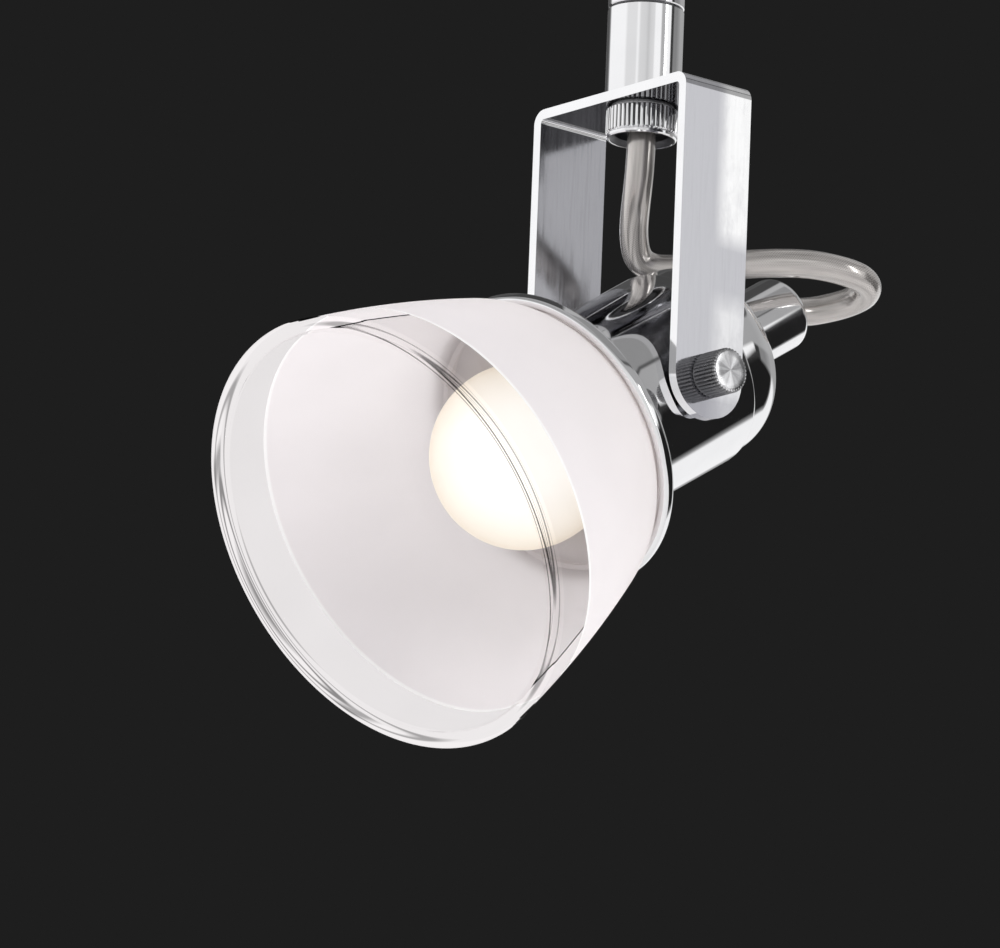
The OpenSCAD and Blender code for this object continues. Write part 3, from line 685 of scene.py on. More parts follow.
def polished_strip(colours):
    """The yoke's outside: brushed lengthways, with two soft painted highlights per arm, and painted
    shade that darkens the arms' round feet."""
    made = brushed("polished_strip", colours.satin, colours.brushing, (1, 1, 0.05),
                   low=0.95, high=1.03)
    shader = made.node_tree.nodes["Principled BSDF"]
    where = place_of(made)
    y, z = axis_of(made, where, "Y"), axis_of(made, where, "Z")
    cloud = noise(made, place_of(made, None, (1, 1, 0.5)), scale=160, detail=4, rough=0.6)
    shade = shader.inputs["Base Color"].links[0].from_socket
    # Painted highlight: each patch mixes white into the strip's colour, broken up by the cloud
    for start, full, low, high, at_low, at_high, strength in PAINTED_HIGHLIGHT_PATCHES:
        across = between(made, y, 0, 1, start * MM, full * MM)
        along = between(made, z, at_low, at_high, low * MM, high * MM)
        cloudy = between(made, cloud, 0.65 * strength, strength, 0.4, 0.55)
        painted_highlight_mask = reckon(made, "MULTIPLY", reckon(made, "MULTIPLY", across, along), cloudy)
        shade = blend(made, painted_highlight_mask, shade, (*WHITE, 1))
    # Painted shade: the strip's colour is multiplied darker below the tilt axis, at the arms' round
    # feet
    start, end = (PIVOT.z - drop * MM for drop in FOOT_PAINTED_SHADE)
    foot = tint(made, between(made, z, 0, 1, start, end), FOOT_PAINTED_SHADE_TINT, WHITE, 0.0, 1.0)
    set_inputs(made, shader, Base_Color=blend(made, 1, shade, foot, "MULTIPLY"))
    return made


def turned_face(name, rgb, roughness, placed):
    """Machined metal: rings round the piece's own axis, a sheen that follows them, and painted
    star-shaped highlights in its colour.
    """
    made, shader = material(name, Metallic=1, Anisotropic=0.75)
    where = place_of(made, placed)
    rings = add(made, "TexWave", where, wave_type="RINGS", rings_direction="Z", Scale=900,
                Distortion=1.5)
    haze = noise(made, where, scale=600)
    # Painted highlight: brighter and darker wedges round the axis stand in for the turned face's
    # star-shaped sheen
    flat = add(made, "Mapping", where, Scale=(1, 1, 0))
    around = add(made, "VectorMath", flat.outputs[0], operation="NORMALIZE")
    rays = noise(made, around.outputs[0], scale=1.7, detail=1)
    grain = add(made, "Tangent", direction_type="UV_MAP", uv_map="turned")
    set_inputs(made, shader, Tangent=grain.outputs[0],
               Base_Color=tint(made, rays, scaled(rgb, 0.6), scaled(rgb, 1.15), 0.36, 0.64),
               Roughness=between(made, haze, roughness * 0.8, roughness * 1.3))
    bump(made, shader, rings.outputs["Fac"], strength=0.10, distance=0.00005)
    return made


def moulded(name, rgb, roughness, grain, depth, coat=0.0, metallic=0.0):
    """Plain parts: a slightly uneven colour with a fine grain in it."""
    made, shader = material(name, Metallic=metallic, Coat_Weight=coat)
    fine = noise(made, place_of(made), scale=grain, detail=4, rough=0.6)
    set_inputs(made, shader, Base_Color=tint(made, fine, scaled(rgb, 0.86), scaled(rgb, 1.08)),
               Roughness=between(made, fine, roughness * 0.85, roughness * 1.15))
    bump(made, shader, fine, depth)
    return made


def frosted_glass(colours, border):
    """Acid-frosted glass: white, matt and lit through, with a painted bright line where the frost
    ends.
    """
    made, shader = material("frosted_glass", IOR=1.5, Coat_Weight=0.15, Coat_Roughness=0.2)
    where = place_of(made, ON_HEAD)
    grain = noise(made, where, scale=1600, rough=0.6)
    cloud = noise(made, where, scale=28, detail=2)
    # Painted highlight: a thin band just under the frost's border is mixed towards white
    start, end = (border - drop * MM for drop in FROST_PAINTED_LINE)
    edge = between(made, axis_of(made, where, "Z"), 0, 1, start, end)
    body = tint(made, cloud, scaled(colours.frost, 0.975), scaled(colours.frost, 1.02))
    both = blend(made, edge, body, (*WHITE, 1))
    matt = colours.frosting
    set_inputs(made, shader, Base_Color=both,
               Roughness=between(made, grain, matt * 0.9, matt * 1.1))
    bump(made, shader, grain, strength=0.04)
    lit = add(made, "BsdfTranslucent", both)
    mix = add(made, "MixShader", colours.lit_through, shader.outputs[0], lit.outputs[0])
    set_inputs(made, made.node_tree.nodes["Material Output"], Surface=mix.outputs[0])
    return made


def clear_glass(colours, lip_from):
    """Clear pressed glass: it lets the pale room through, mirrors more at a glancing angle, and its
    round lip has a painted bright middle between two painted dark lines, standing in for the
    refraction of a glass rod."""
    made, mix = material("clear_glass", "MixShader")
    where = place_of(made, ON_HEAD)
    facing = add(made, "LayerWeight", Blend=0.5).outputs["Facing"]
    # Painted refraction: the lip's bright rod and dark lines follow how squarely the surface faces
    # the eye
    rod = ramp(made, facing, [(spot, scaled(colours.clear, bright / max(colours.clear)))
                              for spot, bright in LIP_PAINTED_LINES])
    wave = tint(made, noise(made, where, scale=60, detail=1), scaled(colours.clear, 0.985),
                colours.clear)
    on_lip = between(made, axis_of(made, where, "Z"), 0, 1, lip_from, lip_from + BEVEL)
    through = add(made, "BsdfRefraction", Color=blend(made, on_lip, wave, rod), Roughness=0,
                  IOR=colours.bending)
    sheen = add(made, "BsdfGlossy", Roughness=0.02)
    mirror = between(made, add(made, "Fresnel", IOR=1.35).outputs[0], 0, 0.2, 0, 1)
    outside = reckon(made, "SUBTRACT", 1, add(made, "NewGeometry").outputs["Backfacing"])
    for socket, value in zip(mix.inputs, (reckon(made, "MULTIPLY", mirror, outside),
                                          through.outputs[0], sheen.outputs[0])):
        feed(made, socket, value)
    return made


def glowing_glass(colours):
    """The lit bulb: white towards the eye and warmer where its glass turns away."""
    made, shader = material("bulb_glass")
    cloud = noise(made, place_of(made, ON_HEAD), scale=70)
    facing = add(made, "LayerWeight", Blend=0.5).outputs["Facing"]
    set_inputs(made, shader,
               Base_Color=tint(made, cloud, scaled(colours.bulb, 0.24), scaled(colours.bulb, 0.28)),
               Roughness=between(made, cloud, 0.42, 0.55),
               Emission_Color=tint(made, facing, (1.0, 0.97, 0.92), colours.glow, 0.05, 0.8),
               Emission_Strength=between(made, facing, 0.95, 0.62, 0.10, 0.85))
    bump(made, shader, cloud, strength=0.03)
    return made


def braided_cable(colours):
    """A silvery braid under a clear sheath, laid along the cable by its own map."""
    made, shader = material("cable_sheath", Metallic=0.7, Coat_Weight=1, Coat_Roughness=0.03)
    along = add(made, "UVMap", uv_map="along").outputs[0]
    strands = []
    for turn in (1, -1):
        lay = add(made, "Mapping", along, Rotation=(0, 0, turn * math.radians(38)))
        strands.append(add(made, "TexWave", lay.outputs[0], bands_direction="X", Scale=650,
                           Distortion=0.6).outputs["Fac"])
    weave = reckon(made, "MAXIMUM", *strands)
    stretched = add(made, "Mapping", along, Scale=(60, 900, 1))
    streak = noise(made, stretched.outputs[0], scale=1, rough=0.6)
    braid = reckon(made, "MULTIPLY", weave, streak)
    low, high = scaled(colours.core, 0.62), scaled(colours.core, 1.35)
    set_inputs(made, shader, Base_Color=tint(made, braid, low, high, 0.2, 0.62),
               Roughness=between(made, streak, 0.15, 0.21))
    bump(made, shader, braid, strength=0.12, distance=0.00008)
    return made


# ---------------------------------------------------------------- pieces


class SPOTLIGHT_OT_cable(bpy.types.Operator):
    """Round cable from the stem down, in a loop behind the lamp and into the cord grip"""
    bl_idname = "spotlight.cable"
    bl_label = "Cable"

    def execute(self, context):
        sizes = context.scene.spotlight_cable
        grip = [PIVOT + AXIS * (s * MM) for s in GRIP_PLACES]
        smooth = self.smoothed([PIVOT + Vector(p) * MM for p in CABLE_POINTS] + grip)
        curve = bpy.data.curves.new("cable", "CURVE")
        curve.dimensions, curve.twist_mode = "3D", "MINIMUM"
        curve.bevel_depth, curve.bevel_resolution = sizes.diameter / 2, 10
        curve.use_fill_caps = True
        line = curve.splines.new("POLY")
        line.points.add(len(smooth) - 1)
        for point, place in zip(line.points, smooth):
            point.co = (*place, 1)
        drawn = bpy.data.objects.new("cable_line", curve)
        context.scene.collection.objects.link(drawn)
        take(drawn)
        bpy.ops.object.convert(target="MESH")
        piece = start_piece("clear_sheathed_cable")
        finish_piece(merge=SAME, smooth=50)
        self.lay_along(piece, smooth, sizes.diameter / 2)
        piece.data.materials.append(braided_cable(context.scene.spotlight_colours))
        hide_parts("cable")
        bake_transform(piece)
        return {"FINISHED"}

    @staticmethod
    def smoothed(route):
        """A smooth line through the route's points, in shorter steps."""
        smooth = []
        for i in range(len(route) - 1):
            a, b = route[max(i - 1, 0)], route[i]
            c, d = route[i + 1], route[min(i + 2, len(route) - 1)]
            parts = 4 if (c - b).length < 12 * MM else 6
            for k in range(parts):
                t = k / parts
                smooth.append(0.5 * ((2 * b) + (c - a) * t + (2 * a - 5 * b + 4 * c - d) * t * t
                                     + (3 * b - a - 3 * c + d) * t ** 3))
        return smooth + [route[-1]]

    @staticmethod
    def lay_along(piece, smooth, radius):
        """Maps the skin by metres along the cable and metres round it."""
        runs = [0.0]
        for a, b in zip(smooth, smooth[1:]):
            runs.append(runs[-1] + (b - a).length)
        side, frames = Vector((1, 0, 0)), []
        for i in range(len(smooth)):
            way = (smooth[min(i + 1, len(smooth) - 1)] - smooth[max(i - 1, 0)]).normalized()
            side = (side - way * side.dot(way)).normalized()
            frames.append((side.copy(), way.cross(side)))
        spots = []
        for vertex in piece.data.vertices:
            k = min(range(len(smooth)), key=lambda n: (smooth[n] - vertex.co).length_squared)
            off = vertex.co - smooth[k]
            spots.append((math.atan2(off.dot(frames[k][1]), off.dot(frames[k][0])), runs[k]))
        lay_map(piece, "along", spots, lambda turn, run: (run, turn * radius))


class SPOTLIGHT_OT_stem(bpy.types.Operator):
    """Fixed collar with its female thread, and the turning sleeve below the seam"""
    bl_idname = "spotlight.stem"
    bl_label = "Collar and sleeve"

    def execute(self, context):
        sizes = context.scene.spotlight_stem
        chrome = plate("chrome_stem", context.scene.spotlight_colours.chrome, 0.045)
        r, e, bore = sizes.diameter / 2, sizes.edge, sizes.bore / 2
        base, crest, pitch = -sizes.collar, sizes.thread / 2, sizes.thread_pitch
        outline = [(bore, base), (r - e, base), (r, base + e), (r, -2 * e), (r - 2 * e, 0),
                   (crest + THREAD_BEVEL, 0)]
        reach = {"crest": crest, "root": bore - THREAD_GAP}
        for i in range(THREAD_TURNS):
            outline += [(reach[part], -(i + along) * pitch) for along, part in THREAD_TURN]
        outline += [(crest, -THREAD_TURNS * pitch), (bore, -THREAD_TURNS * pitch)]
        collar = turn_on_lathe("collar", outline, smooth=25)
        hand_over(collar, "mount_stem", ["stem_coupler"], "chrome", chrome)
        top = base - sizes.seam
        mid, floor = (bore + r) / 2, top - sizes.groove_depth
        low, high = mid - sizes.groove / 2, mid + sizes.groove / 2
        outline = [(bore, WEB_TOP), (r - e, WEB_TOP), (r, WEB_TOP + e), (r, top - e), (r - e, top),
                   (high, top), (high, floor), (low, floor), (low, top), (bore, top)]
        sleeve = turn_on_lathe("turning_sleeve", outline, smooth=25)
        lug = turn_on_lathe("stop_lug", [(low, floor), (high, floor), (high, top), (low, top)],
                            steps=4, sweep=LUG_ARC)
        lug.data.transform(Matrix.Rotation(math.pi / 2 + LUG_ARC / 2, 4, "Z"))
        take(sleeve)
        lug.select_set(True)
        bpy.ops.object.join()
        hand_over(sleeve, "yoke", ["stem_sleeve"], "chrome", chrome)
        return {"FINISHED"}


class SPOTLIGHT_OT_nut(bpy.types.Operator):
    """Knurled nut under the yoke, with a bright lip and a hollow round the cable"""
    bl_idname = "spotlight.nut"
    bl_label = "Swivel nut"

    def execute(self, context):
        sizes = context.scene.spotlight_stem
        low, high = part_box("knurled_nut")
        top, base, r, bore = high.z, low.z, sizes.nut / 2, sizes.bore / 2
        above = [(r - x * MM, top + z * MM, ends) for x, z, ends in NUT_TOP]
        below = [(r - x * MM, base + z * MM, ends) for x, z, ends in NUT_SKIRT]
        below += [(x * MM, base + z * MM, False) for x, z in NUT_MOUTH]
        below += [(bore, base + NUT_MOUTH[-1][1] * MM, False), (bore, top, False)]
        low, high = base + NUT_PLAIN_BASE, top - NUT_PLAIN_TOP
        nut = knurled_turning("swivel_nut", sizes.nut_ridges, r, sizes.ridge, low, high,
                              above + [(bore, top, False)], below)
        colours = context.scene.spotlight_colours
        hand_over(nut, "swivel_nut", ["knurled_nut"], "chrome",
                  plate("chrome_nut", colours.chrome, 0.07),
                  moulded("nut_hollow", colours.dark, 0.4, 900, 0.05, metallic=1.0),
                  plate("chrome_nut_grooves", scaled(colours.chrome, 0.3), 0.12))
        # The knurl's grooves take a darker chrome, painted shade in those creases
        for face in nut.data.polygons:
            away = math.hypot(face.center.x, face.center.y)
            if away < NUT_HOLLOW:
                face.material_index = 1
            elif away < r - sizes.ridge / 2 and low - 2 * NEAR < face.center.z < high + NEAR:
                face.material_index = 2
        return {"FINISHED"}


class SPOTLIGHT_OT_yoke(bpy.types.Operator):
    """Yoke bent from flat strip, with a full round end on its right arm"""
    bl_idname = "spotlight.yoke"
    bl_label = "Yoke"

    def execute(self, context):
        sizes = context.scene.spotlight_yoke
        t, half = sizes.thickness, STRIP_WIDTH / 2
        inner = ARM_OUT - t
        straight, corner, foot = inner - sizes.bend, WEB_TOP - t - sizes.bend, PIVOT.z - half
        clear_selection()
        bpy.ops.mesh.primitive_plane_add(size=1, location=(-(ARM_OUT + inner) / 2, 0, PIVOT.z))
        bpy.context.object.scale = (t, STRIP_WIDTH, 1)
        yoke = start_piece("yoke_strip_bent")
        bpy.ops.mesh.select_all(action="SELECT")
        extrude(0, 0, corner - PIVOT.z)
        for side in (-1, 1):
            bpy.ops.mesh.spin(steps=10, angle=-math.pi / 2, center=(side * straight, 0, corner),
                              axis=(0, 1, 0))
            if side < 0:
                extrude(2 * straight, 0, 0)
        extrude(0, 0, PIVOT.z - corner)
        bpy.ops.mesh.select_all(action="SELECT")
        bpy.ops.mesh.remove_doubles(threshold=MERGE)
        # Only the right arm gets its round foot; the left one ends straight at the tilt axis
        select_parts(yoke, "FACE", lambda face: len(face.verts) == 4
                     and abs(face.calc_center_median().z - PIVOT.z) < SAME
                     and face.calc_center_median().x > 0 and abs(face.normal.z) > LEVEL)
        extrude(0, 0, -half)
        select_parts(yoke, "EDGE", lambda edge: all(
            abs(v.co.z - foot) < SAME and v.co.x > 0 for v in edge.verts)
            and abs(edge.verts[0].co.y - edge.verts[1].co.y) < SAME)
        bpy.ops.mesh.bevel(offset=half * FOOT_ROUND, segments=FOOT_SEGMENTS, affect="EDGES",
                           clamp_overlap=False)
        finish_piece(merge=2 * MERGE)
        cut_with(yoke, drill(sizes.stem_hole / 2, WEB_TOP - 2 * t, WEB_TOP + t, ON_STEM, 96),
                 *(drill(sizes.screw_hole / 2, inner - t, ARM_OUT + t, placed, 48)
                   for placed in (ON_RIGHT, ON_LEFT)))
        apply_modifier(yoke, "BEVEL", width=sizes.edge, segments=3, limit_method="ANGLE",
                       angle_limit=math.radians(50))
        bpy.ops.object.shade_smooth_by_angle(angle=math.radians(40))
        apply_modifier(yoke, "WEIGHTED_NORMAL", mode="FACE_AREA", weight=100, keep_sharp=True)
        self.finish(context.scene.spotlight_colours, yoke, inner, straight, corner, WEB_TOP - t)
        return {"FINISHED"}

    @staticmethod
    def finish(colours, yoke, inner, straight, corner, ceiling):
        """Polished outside; rougher inside, darker as painted shade; underside darker still as
        painted shade; edges and bend corners brighter as painted highlights.
        """
        # The inside is rougher, and darker as painted shade
        dull_and_painted_shade = brushed("strip_inside", colours.inner, colours.brushing * 2, (1, 1, 0.05))
        # Painted highlight: edges and inside bend corners take a chrome far brighter than the strip
        bright = plate("chrome_strip_edge", scaled(colours.chrome, 1.05), 0.06)
        # Painted shade: the web's underside is darker still
        dark = brushed("strip_underside", scaled(colours.inner, 0.45), colours.brushing * 0.5,
                       (0.05, 1, 1))
        hand_over(yoke, "yoke", ["yoke_strip"], "satin_steel", polished_strip(colours), dull_and_painted_shade,
                  bright, dark)
        # Faces get their finish: painted highlight on edges and bend corners, painted shade inside
        # and underneath, the outside elsewhere
        for face in yoke.data.polygons:
            x, z = abs(face.center.x), face.center.z
            inside = x < inner + NEAR and z < ceiling + NEAR
            if abs(face.normal.y) > LEANING or (inside and x > straight and z > corner):
                face.material_index = 2
            elif inside:
                face.material_index = 3 if abs(face.normal.z) > LEVEL else 1
            else:
                face.material_index = 0


class SPOTLIGHT_OT_thumb_screws(bpy.types.Operator):
    """Two knurled thumb screws that clamp the tilt"""
    bl_idname = "spotlight.thumb_screws"
    bl_label = "Thumb screws"

    def execute(self, context):
        sizes = context.scene.spotlight_yoke
        colours = context.scene.spotlight_colours
        r, shank, tip = sizes.knob / 2, sizes.shank / 2, sizes.shank_end
        top = ARM_OUT + sizes.knob_height
        above = [(r - x * MM, top + z * MM, ends) for x, z, ends in KNOB_TOP]
        above += [(r * part, top, False) for part in KNOB_RINGS]
        below = [(r - x * MM, ARM_OUT + z * MM, ends) for x, z, ends in KNOB_FOOT]
        below += [(shank, ARM_OUT, False), (shank, tip + TIP_BEVEL, False),
                  (shank - TIP_BEVEL, tip, False), (TIP_HOLE, tip, False)]
        for side, placed in (("left", ON_LEFT), ("right", ON_RIGHT)):
            screw = knurled_turning(side + "_thumb_screw", sizes.knob_ridges, r, sizes.ridge,
                                    ARM_OUT + KNOB_PLAIN, top - KNOB_PLAIN, above, below)
            close_end(screw, top, r * KNOB_RINGS[-1] * 2)
            close_end(screw, tip, TIP_HOLE * 2)
            spots = [(math.atan2(v.co.y, v.co.x), math.hypot(v.co.x, v.co.y))
                     for v in screw.data.vertices]
            lay_map(screw, "turned", spots, lambda turn, away: (turn / (2 * math.pi), away * 100))
            put(screw, placed)
            # Painted shade: the knurl's colour is the screw steel darkened
            steel = brushed(side + "_screw_knurl", scaled(colours.screw, 0.42), 0.3,
                            (1, 1, 1), placed)
            # Painted highlight: the turned end's colour is the same steel brightened
            bright = turned_face(side + "_screw_end", scaled(colours.screw, 1.3), 0.2, placed)
            hand_over(screw, side + "_screw", [side + "_tilt_screw"], "screw_steel", steel, bright)
            out = placed.to_3x3() @ Vector((0, 0, 1))
            for face in screw.data.polygons:
                height = (face.center - PIVOT).dot(out)
                if height > top - KNOB_PLAIN * 0.75 and face.normal.dot(out) > LEANING:
                    face.material_index = 1
        return {"FINISHED"}


class SPOTLIGHT_OT_housing(bpy.types.Operator):
    """Drawn housing with its flare and the rolled rim that frames the glass"""
    bl_idname = "spotlight.housing"
    bl_label = "Housing"

    def execute(self, context):
        s = context.scene.spotlight_head
        r, bore, rear, edge = s.housing / 2, s.housing / 2 - s.sheet, -s.rear, 1 * MM
        foot, out = s.gallery - s.flare, s.housing / 2 + s.flare
        rim, mid, back = s.rim / 2, out - RIM_IN, s.gallery + s.rim / 2 + RIM_GAP
        thick = s.flare + s.sheet

        def meets(radius, gap):
            return 180 - math.degrees(math.acos(gap / radius))

        outline = [(bore, rear + BEVEL), (bore + 0.2 * MM, rear)]
        outline += round_off(r - edge, rear + edge, edge, -90, 0, 8)
        outline += round_off(out, foot, s.flare, 180, meets(s.flare, out - mid + RIM_MEETS), 28)
        outline += round_off(mid, back, rim, -82, 0, 8)
        outline += round_off(mid, back + s.rim_flat, rim, 0, 180, 18)
        outline += round_off(out, foot, thick, meets(thick, out - (mid - rim)), 180, 28)
        housing = turn_on_lathe("housing_shell", outline, steps=180, smooth=13)
        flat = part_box("right_friction_washer")[0].x
        for turn in (-math.pi / 2, math.pi / 2):
            across = Matrix.Rotation(turn, 4, "Y")
            cut_with(housing, drill(s.axle_hole / 2, bore - 3 * MM, r + MM, across, 48),
                     drill(s.washer_seat / 2, flat, r + MM, across, 72))
        bpy.ops.object.shade_smooth_by_angle(angle=math.radians(13))
        put(housing, ON_HEAD)
        hand_over(housing, "head", ["housing"], "chrome",
                  plate("chrome_housing", context.scene.spotlight_colours.chrome, 0.035, ON_HEAD,
                        wave=0.01))
        return {"FINISHED"}


class SPOTLIGHT_OT_rear_cap(bpy.types.Operator):
    """Domed rear cap and the round cord grip behind it"""
    bl_idname = "spotlight.rear_cap"
    bl_label = "Rear cap and cord grip"

    def execute(self, context):
        s = context.scene.spotlight_head
        chrome = context.scene.spotlight_colours.chrome
        rear, big, e, wall = -s.rear, s.cap_round, 0.25 * MM, s.cap_wall
        r, spigot = s.housing / 2 - s.cap_step, s.housing / 2 - s.sheet - FIT
        turn = rear - s.cap_side
        back, stub, front = turn - big, s.cap_hole / 2, rear + s.spigot
        outline = [(spigot, rear), (r - e, rear), (r, rear - e)]
        outline += round_off(r - big, turn, big, 0, -90, 26)
        outline += [(stub, back), (stub, back + wall)]
        outline += round_off(r - big, turn, big - wall, -90, 0, 20)
        outline += [(r - wall, front), (spigot, front)]
        cap = put(turn_on_lathe("rear_cap_dome", outline, steps=180, smooth=13), ON_HEAD)
        hand_over(cap, "head", ["rear_cap"], "chrome",
                  plate("chrome_cap", chrome, 0.035, ON_HEAD))
        g, end, soft = s.grip / 2, back - s.grip_length, s.grip_round
        tail, mouth, hold = s.grip_tail / 2, s.grip_mouth / 2, s.grip_hole / 2
        seat, tip = end + s.grip_seat, back + s.grip_tail_length
        outline = [(tail, back), (g - 0.4 * MM, back), (g, back - 0.4 * MM)]
        outline += round_off(g - soft, end + soft, soft, 0, -90, 12)
        outline += [(mouth + FINE_BEVEL, end), (mouth, end + FINE_BEVEL), (mouth, seat),
                    (hold, seat), (hold, tip), (tail, tip)]
        grip = put(turn_on_lathe("cord_grip", outline, steps=120, smooth=13), ON_HEAD)
        hand_over(grip, "head", ["gland_body"], "chrome",
                  plate("chrome_grip", chrome, 0.06, ON_HEAD))
        return {"FINISHED"}


class SPOTLIGHT_OT_glass(bpy.types.Operator):
    """Bell glass, frosted up to a clear band at its round lip"""
    bl_idname = "spotlight.glass"
    bl_label = "Bell glass"

    def execute(self, context):
        s = context.scene.spotlight_glass
        head = context.scene.spotlight_head
        lip = s.lip / 2
        foot = Vector((s.shoulder, s.shoulder_front))
        end = Vector((s.mouth / 2 - BEVEL, s.mouth_front - lip))
        chord = end - foot
        inward = Vector((-chord.y, chord.x)) / chord.length
        if inward.x > 0:
            inward = -inward
        bell = (foot + end) / 2 + inward * math.sqrt(s.bell_round ** 2 - (chord.length / 2) ** 2)
        knee = foot + (bell - foot) * (s.shoulder_round / s.bell_round)
        flare = Vector((head.housing / 2 + head.flare, head.gallery - head.flare))
        neck_turn = flare.x - s.neck
        shelf = head.gallery + head.sheet

        def angle_of(centre, point):
            return math.degrees(math.atan2(point.y - centre.y, point.x - centre.x))

        def side(inset):
            """One wall of the glass, from its floor to the mouth."""
            low = s.seat + inset
            soft = FLOOR_ROUND if inset == 0 else FLOOR_ROUND_INSIDE
            rise = shelf + inset
            r = neck_turn + inset
            stop = 180 - math.degrees(math.asin((rise - flare.y) / r))
            points = round_off(s.neck - inset - soft, low + soft, soft, -90, 0, 5)
            points += round_off(flare.x, flare.y, r, 180, stop, 14)
            edge = knee.x + math.sqrt((s.shoulder_round - inset) ** 2 - (rise - knee.y) ** 2)
            inside = flare.x + r * math.cos(math.radians(stop))
            points += [(inside + (edge - inside) * k, rise) for k in SHELF_POINTS]
            points += round_off(knee.x, knee.y, s.shoulder_round - inset,
                                angle_of(knee, Vector((edge, rise))),
                                angle_of(knee, foot), 16)[1:]
            first, last = angle_of(bell, foot), angle_of(bell, end)
            points += round_off(bell.x, bell.y, s.bell_round - inset, first, last, 24)[1:]
            return points

        outer, inner = side(0), side(s.wall)
        centre = Vector((s.mouth / 2 - lip, s.mouth_front - lip))
        wall_at = inner[-1][0]
        rounds = round_off(centre.x, centre.y, lip, 0, 180, 40)
        outer = [p for p in outer if p[1] < centre.y - BEVEL]
        reach = math.degrees(math.acos(min(1, (centre.x - wall_at) / lip)))
        rounds += round_off(centre.x, centre.y, lip, 180, 180 + reach, 6)[1:]
        inner = [p for p in inner if p[1] < rounds[-1][1] - BEVEL]
        outline = [(s.hole, s.seat + BEVEL), (s.hole + BEVEL, s.seat)] + outer + rounds
        outline += inner[::-1]
        outline += [(s.hole + BEVEL, s.seat + s.wall), (s.hole, s.seat + s.wall - BEVEL)]
        glass = turn_on_lathe("bell_glass", outline, steps=480, smooth=60)
        border = s.mouth_front - s.clear_band
        for face in glass.data.polygons:
            place = face.center
            inside = face.normal.x * place.x + face.normal.y * place.y < 0
            face.material_index = int(place.z > border or inside)
        put(glass, ON_HEAD)
        colours = context.scene.spotlight_colours
        indices = [face.material_index for face in glass.data.polygons]
        hand_over(glass, "head", ["shade"], "shade_glass", frosted_glass(colours, border),
                  clear_glass(colours, s.mouth_front - s.lip))
        glass.data.polygons.foreach_set("material_index", indices)
        return {"FINISHED"}


class SPOTLIGHT_OT_bulb(bpy.types.Operator):
    """Frosted round bulb, lit"""
    bl_idname = "spotlight.bulb"
    bl_label = "Bulb"

    def execute(self, context):
        s = context.scene.spotlight_glass
        r, mid, wall = s.bulb / 2, s.bulb_front, s.bulb_wall
        start = -math.degrees(math.asin(BULB_NECK))
        outer = [(s.bulb_foot, s.bulb_foot_front), (s.bulb_foot + 0.1 * MM, s.bulb_foot_front + MM)]
        outer += round_off(0, mid, r, start, 90, 40)
        inner = round_off(0, mid, r - wall, 90, start, 40)
        inner += [(s.bulb_foot - wall + 0.1 * MM, s.bulb_foot_front + MM),
                  (s.bulb_foot - wall, s.bulb_foot_front)]
        bulb = put(turn_on_lathe("bulb_glass_globe", outer + inner, steps=120, smooth=60), ON_HEAD)
        hand_over(bulb, "bulb", ["bulb_globe"], "bulb_glass",
                  glowing_glass(context.scene.spotlight_colours))
        return {"FINISHED"}


class SPOTLIGHT_OT_finishes(bpy.types.Operator):
    """Finishes of the packed parts that keep their own shape"""
    bl_idname = "spotlight.finishes"
    bl_label = "Inner parts' finishes"

    def execute(self, context):
        colours = context.scene.spotlight_colours
        tinned = plate("nickel_cap", NICKEL, 0.2)
        used = {"bulb_cap": tinned, "bulb_tip": tinned}
        for name, (rgb, rough, grain, depth, coat, metallic, nodes) in PLAIN_FINISHES.items():
            rgb = getattr(colours, rgb) if isinstance(rgb, str) else rgb
            made = moulded(name, rgb, rough, grain, depth, coat, metallic)
            used.update(dict.fromkeys(nodes, made))
        for name, made in used.items():
            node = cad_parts[name]
            if not node.data.materials:
                node.data.materials.append(made)
            for place in node.material_slots:
                place.link = "OBJECT"
                place.material = made
        return {"FINISHED"}


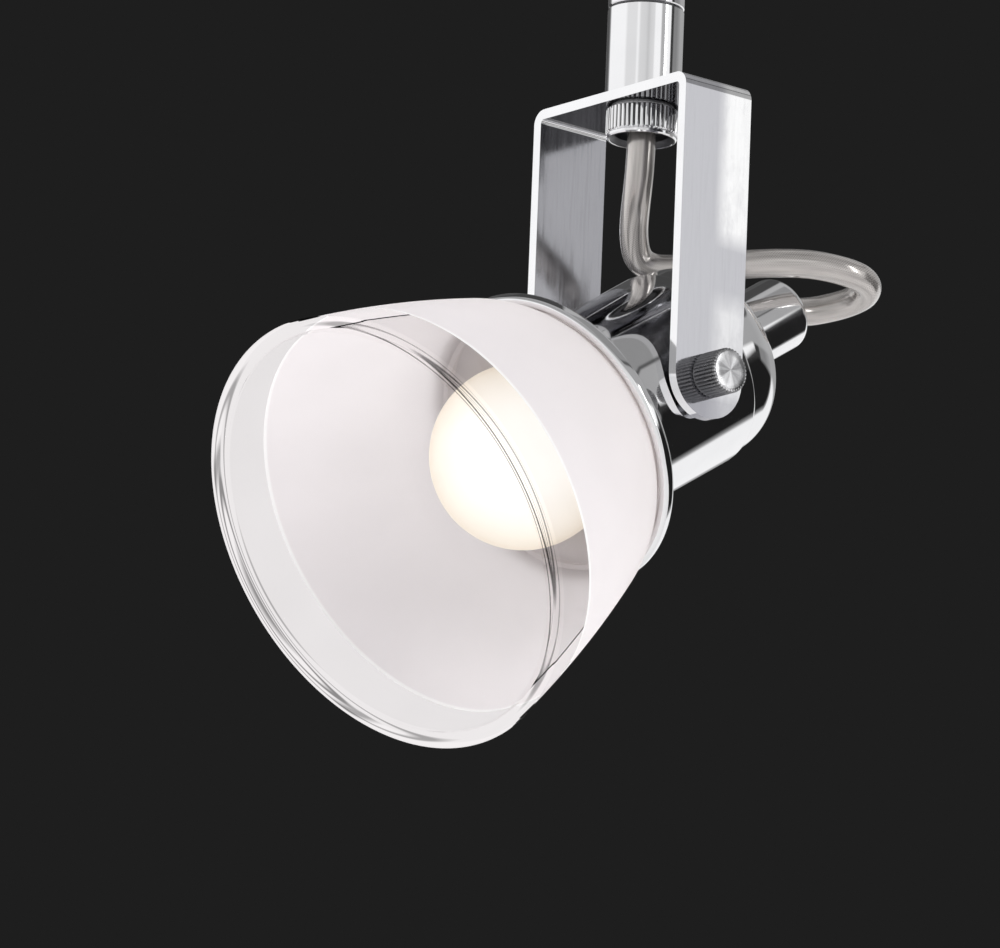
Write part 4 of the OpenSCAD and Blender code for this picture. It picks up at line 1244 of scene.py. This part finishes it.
class SPOTLIGHT_OT_studio(bpy.types.Operator):
    """Floor, backdrop, lamps and camera"""
    bl_idname = "spotlight.studio"
    bl_label = "Studio"

    def execute(self, context):
        s = context.scene.spotlight_studio
        self.camera(context, s)
        self.floor(context, s)
        self.world(context, s)
        for name, (place, size, power, mirrored) in LAMPS.items():
            self.lamp(context, name, Vector(place), size, power, mirrored)
        context.scene.view_settings.view_transform = "Standard"
        return {"FINISHED"}

    @staticmethod
    def camera(context, s):
        a, e, r = s.azimuth, s.elevation, s.roll
        back = Vector((math.sin(a) * math.cos(e), -math.cos(a) * math.cos(e), math.sin(e)))
        level = Vector((math.cos(a), math.sin(a), 0))
        upright = back.cross(level)
        right = level * math.cos(r) + upright * math.sin(r)
        up = upright * math.cos(r) - level * math.sin(r)
        place = PIVOT + back * s.distance - right * s.aside - up * s.below
        camera = bpy.data.objects.new("camera", bpy.data.cameras.new("camera"))
        camera.data.lens, camera.data.sensor_width = s.lens, s.sensor
        camera.data.clip_start, camera.data.clip_end = 0.05, 50
        turned = Matrix((right, up, back)).transposed().to_4x4()
        camera.matrix_world = Matrix.Translation(place) @ turned
        context.scene.collection.objects.link(camera)
        context.scene.camera = camera

    @staticmethod
    def floor(context, s):
        clear_selection()
        bpy.ops.mesh.primitive_circle_add(vertices=96, radius=s.floor_size, fill_type="NGON",
                                          location=(0, 0, -s.floor_drop))
        ground = context.object
        ground.name = "studio_floor"
        made, shader = material("pale_floor", Roughness=0.8)
        haze = noise(made, place_of(made), scale=3)
        set_inputs(made, shader, Base_Color=tint(made, haze, scaled(s.floor, 0.97), s.floor))
        ground.data.materials.append(made)

    @staticmethod
    def world(context, s):
        """Plain soft light all round. Bright metal mirrors the tent that gives it, glass shows
        the pale room behind it, and the camera sees the plain backdrop."""
        world = bpy.data.worlds.new("studio_world")
        context.scene.world = world
        world.use_nodes = True
        world.node_tree.nodes.clear()
        way = add(world, "TexCoord").outputs["Generated"]
        x, y, z = (axis_of(world, way, axis) for axis in "XYZ")
        turn = reckon(world, "ARCTAN2", x, reckon(world, "MULTIPLY", y, -1))
        around = between(world, turn, 0, 1, -math.pi, math.pi)

        def wall(stops):
            """A wall of the tent: pairs of degrees round from the front, and brightness."""
            return ramp(world, around, [
                ((degrees + 180) / 360, (bright * TENT_TINT, bright * TENT_TINT, bright))
                for degrees, bright in stops])

        tent = wall(TENT_LOWER)
        for stops, start, end in TENT_WALLS:
            start, end = math.sin(math.radians(start)), math.sin(math.radians(end))
            tent = blend(world, between(world, z, 0, 1, start, end), tent, wall(stops))
        rays = add(world, "LightPath").outputs
        seen = blend(world, rays["Is Glossy Ray"], ROOM_LIGHT, tent)
        seen = blend(world, rays["Is Transmission Ray"], seen, (*s.through, 1))
        seen = blend(world, rays["Is Camera Ray"], seen, (*s.backdrop, 1))
        add(world, "OutputWorld", add(world, "Background", seen).outputs[0])

    @staticmethod
    def lamp(context, name, place, size, power, mirrored):
        """A softbox that faces the lamp's tilt axis, seen in bright metal or not."""
        light = bpy.data.lights.new(name, "AREA")
        light.shape, light.size, light.size_y, light.energy = "RECTANGLE", size[0], size[1], power
        box = bpy.data.objects.new(name, light)
        box.matrix_world = Matrix.Translation(place) @ (place - PIVOT).to_track_quat(
            "Z", "Y").to_matrix().to_4x4()
        box.visible_glossy = mirrored
        context.scene.collection.objects.link(box)


STEPS = (
    SPOTLIGHT_OT_cable, SPOTLIGHT_OT_studio, SPOTLIGHT_OT_stem, SPOTLIGHT_OT_nut,
    SPOTLIGHT_OT_yoke, SPOTLIGHT_OT_thumb_screws, SPOTLIGHT_OT_housing, SPOTLIGHT_OT_rear_cap,
    SPOTLIGHT_OT_glass, SPOTLIGHT_OT_bulb, SPOTLIGHT_OT_finishes)


class SPOTLIGHT_PT_panel(bpy.types.Panel):
    """Sizes, colours and the pieces of the spotlight"""
    bl_idname = "SPOTLIGHT_PT_panel"
    bl_label = "Track spotlight"
    bl_space_type = "VIEW_3D"
    bl_region_type = "UI"
    bl_category = "Spotlight"

    def draw(self, context):
        for attribute, group in GROUPS.items():
            box = self.layout.box()
            box.label(text=group.__doc__)
            for name in group.__annotations__:
                box.prop(getattr(context.scene, attribute), name)
        for step in STEPS:
            self.layout.operator(step.bl_idname)


def register():
    for group in GROUPS.values():
        bpy.utils.register_class(group)
    for step in (*STEPS, SPOTLIGHT_PT_panel):
        bpy.utils.register_class(step)
    for attribute, group in GROUPS.items():
        setattr(bpy.types.Scene, attribute, bpy.props.PointerProperty(type=group))


def unregister():
    for attribute in GROUPS:
        delattr(bpy.types.Scene, attribute)
    for step in reversed((*STEPS, SPOTLIGHT_PT_panel)):
        bpy.utils.unregister_class(step)
    for group in reversed(list(GROUPS.values())):
        bpy.utils.unregister_class(group)


def main():
    register()
    for step in STEPS:
        group, name = step.bl_idname.split(".")
        getattr(getattr(bpy.ops, group), name)()


if __name__ == "__main__":
    main()
